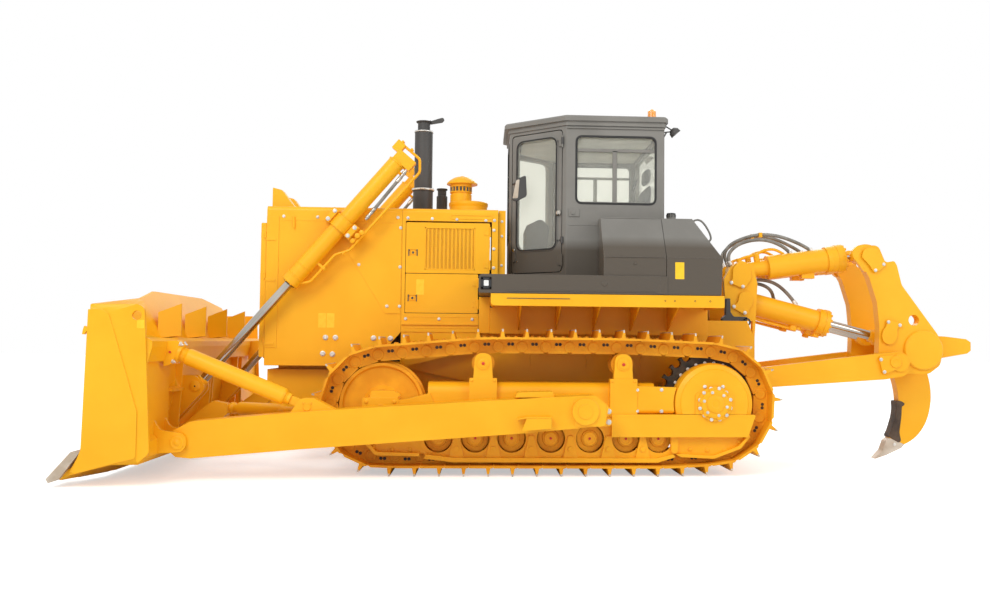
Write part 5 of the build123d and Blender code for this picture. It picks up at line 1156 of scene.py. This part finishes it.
hull, deck_end, post_bolts = Piece(), Piece(), Piece()
for outline, near, far in (
        # side of the hull between the track and the deck, and below the engine doors
        ([(-1700, 990), (-1593, 969), (-1014, 851), (1440, 851), (1440, 1350), (-1700, 1350)], 500, 510),
        ([(-1688, 1005), (-1640, 1000), (-905, 1180), (-905, 1392), (-1688, 1392)], 592, 602),
        # post between the hood and the cab
        (rectangle(-713, 1902, -640, 2606, 6), 540, 556)):
    hull.plates(outline, near, far)
hull.boxes((-903, 634, 1345), (-791, 642, 1712))
for x in (-380, 200, 760, 1250):
    hull.boxes((x, 508, 1000), (x + 10, 515, 1340))
# side of the main frame under the hood, and the wall between the engine and the cab
hull.boxes((-2950, 370, 935), (-1690, 380, 1045))
hull.box((-712, -540, 1902), (-704, 540, 2600))
deck_end.boxes((815, 1322, 1722), (890, 1349, 1896))
for z in (2493, 2342, 2040):
    post_bolts.bolts((-677, 556, z), 11)
hull.make("hull_sides", YELLOW, bevel=1.5)
deck_end.make("deck_end", CHARCOAL, bevel=1)
post_bolts.make("post_bolts", ZINC)

# -------- rails, mirror and cab liner

RAIL_ROW = 1000
RAIL = ((1190, 2452), (1228, 2492), (1290, 2492), (1345, 2420), (1400, 2320), (1390, 2270), (1318, 2262))
for side_name, side in SIDES:
    route = [(x, side * RAIL_ROW, z) for x, z in RAIL]
    grab = bent_rod(f"grab_rail_{side_name}", route, 10, CHARCOAL, TRACTOR, order=4)
    if side < 0:
        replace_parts(grab, "grab_rails")
# exterior mirror on the front post, facing back along the machine
mirror, mirror_face, liner = Piece(), Piece(), Piece()
mirror.plate(rounded([(-536, 2921), (-440, 2959), (-428, 2746), (-535, 2690), (-590, 2707)], 22), -668, -636)
mirror_face.plate(rounded([(-540, 2905), (-505, 2918), (-520, 2722), (-576, 2716)], 14), -672, -667)
for z in (2752, 2908):
    mirror.rod((-500, -640, z), (-566, -400, z), 9, 10)
liner.plate([(-520, -330), (-70, -790), (895, -790), (895, 790), (-70, 790), (-520, 330)], 3372, 3386, "z")
mirror.make("mirror_housing", SOOT, bevel=4, slot="dark_plastic")
mirror_face.make("mirror_face", EDGE_STEEL, bevel=2)
liner.make("cab_liner", LINER, bevel=6)

# -------- hydraulic hoses to the ripper

HOSE_RADIUS = 19
# name, body it rides on, and its route from the foot of its barrel to the port on it
HOSES = (
    ("tilt_a", "tilt_barrels", (
        (1796, -128, 2104), (1730, -128, 2200), (1795, -136, 2330), (1950, -150, 2408), (2120, -165, 2450),
        (2320, -168, 2440), (2520, -166, 2375), (2690, -165, 2290), (2700, -165, 2262))),
    ("tilt_b", "tilt_barrels", (
        (1798, -205, 2106), (1752, -208, 2190), (1835, -214, 2310), (1995, -218, 2378), (2190, -210, 2390),
        (2370, -194, 2325), (2460, -180, 2250), (2466, -176, 2228))),
    ("tilt_c", "tilt_barrels", (
        (1798, 120, 2106), (1760, 122, 2215), (1865, 130, 2345), (2030, 142, 2430), (2200, 152, 2470),
        (2400, 160, 2440), (2590, 165, 2355), (2700, 165, 2290), (2708, 165, 2264))),
    ("hoist_a", "hoist_barrels", (
        (1925, -24, 1790), (1928, -24, 1852), (1982, -23, 1920), (2088, -22, 1960), (2225, -22, 1964),
        (2350, -22, 1925), (2440, -40, 1850), (2505, -110, 1750), (2530, -150, 1690))),
    ("hoist_b", "hoist_barrels", (
        (1925, 24, 1790), (1928, 24, 1846), (1975, 23, 1900), (2070, 22, 1928), (2190, 22, 1922),
        (2290, 26, 1876), (2350, 75, 1805), (2380, 150, 1735))),
)


def length_of(obj):
    """Length of a bent rod's middle line, in metres."""
    bare = obj.data.copy()
    bare.bevel_depth = 0
    probe = bpy.data.objects.new("probe", bare)
    path = [vertex.co.copy() for vertex in bpy.data.meshes.new_from_object(probe).vertices]
    bpy.data.objects.remove(probe)
    return sum((b - a).length for a, b in zip(path, path[1:]))


ferrules = {"tilt_barrels": Piece(), "hoist_barrels": Piece()}
for name, body, points in HOSES:
    hose = bent_rod(f"hose_{name}", points, HOSE_RADIUS, RUBBER, body)
    length_of(hose)
    for at, toward in ((points[0], points[1]), (points[-1], points[-2])):
        ferrules[body].turned(at, Vector(toward) - Vector(at), [
            (-24, 21), (0, 21), (2, 26), (18, 26), (20, 23), (46, 23), (50, 20)], 18)
for body, piece in ferrules.items():
    piece.make(f"{body}_ferrules", ZINC, body)
clips = Piece()
clips.box((2112, -198, 2414), (2150, -134, 2466))
clips.box((2112, 118, 2432), (2150, 180, 2484))
clips.make("hose_clips", YELLOW, "tilt_barrels", bevel=4)

# -------- floor

floor_mesh = bpy.data.meshes.new("floor")
floor_mesh.from_pydata([(-60, -60, 0), (60, -60, 0), (60, 60, 0), (-60, 60, 0)], [], [(0, 1, 2, 3)])
floor_mesh.materials.append(FLOOR)
floor = bpy.data.objects.new("floor", floor_mesh)
bpy.context.scene.collection.objects.link(floor)

bpy.context.view_layer.update()
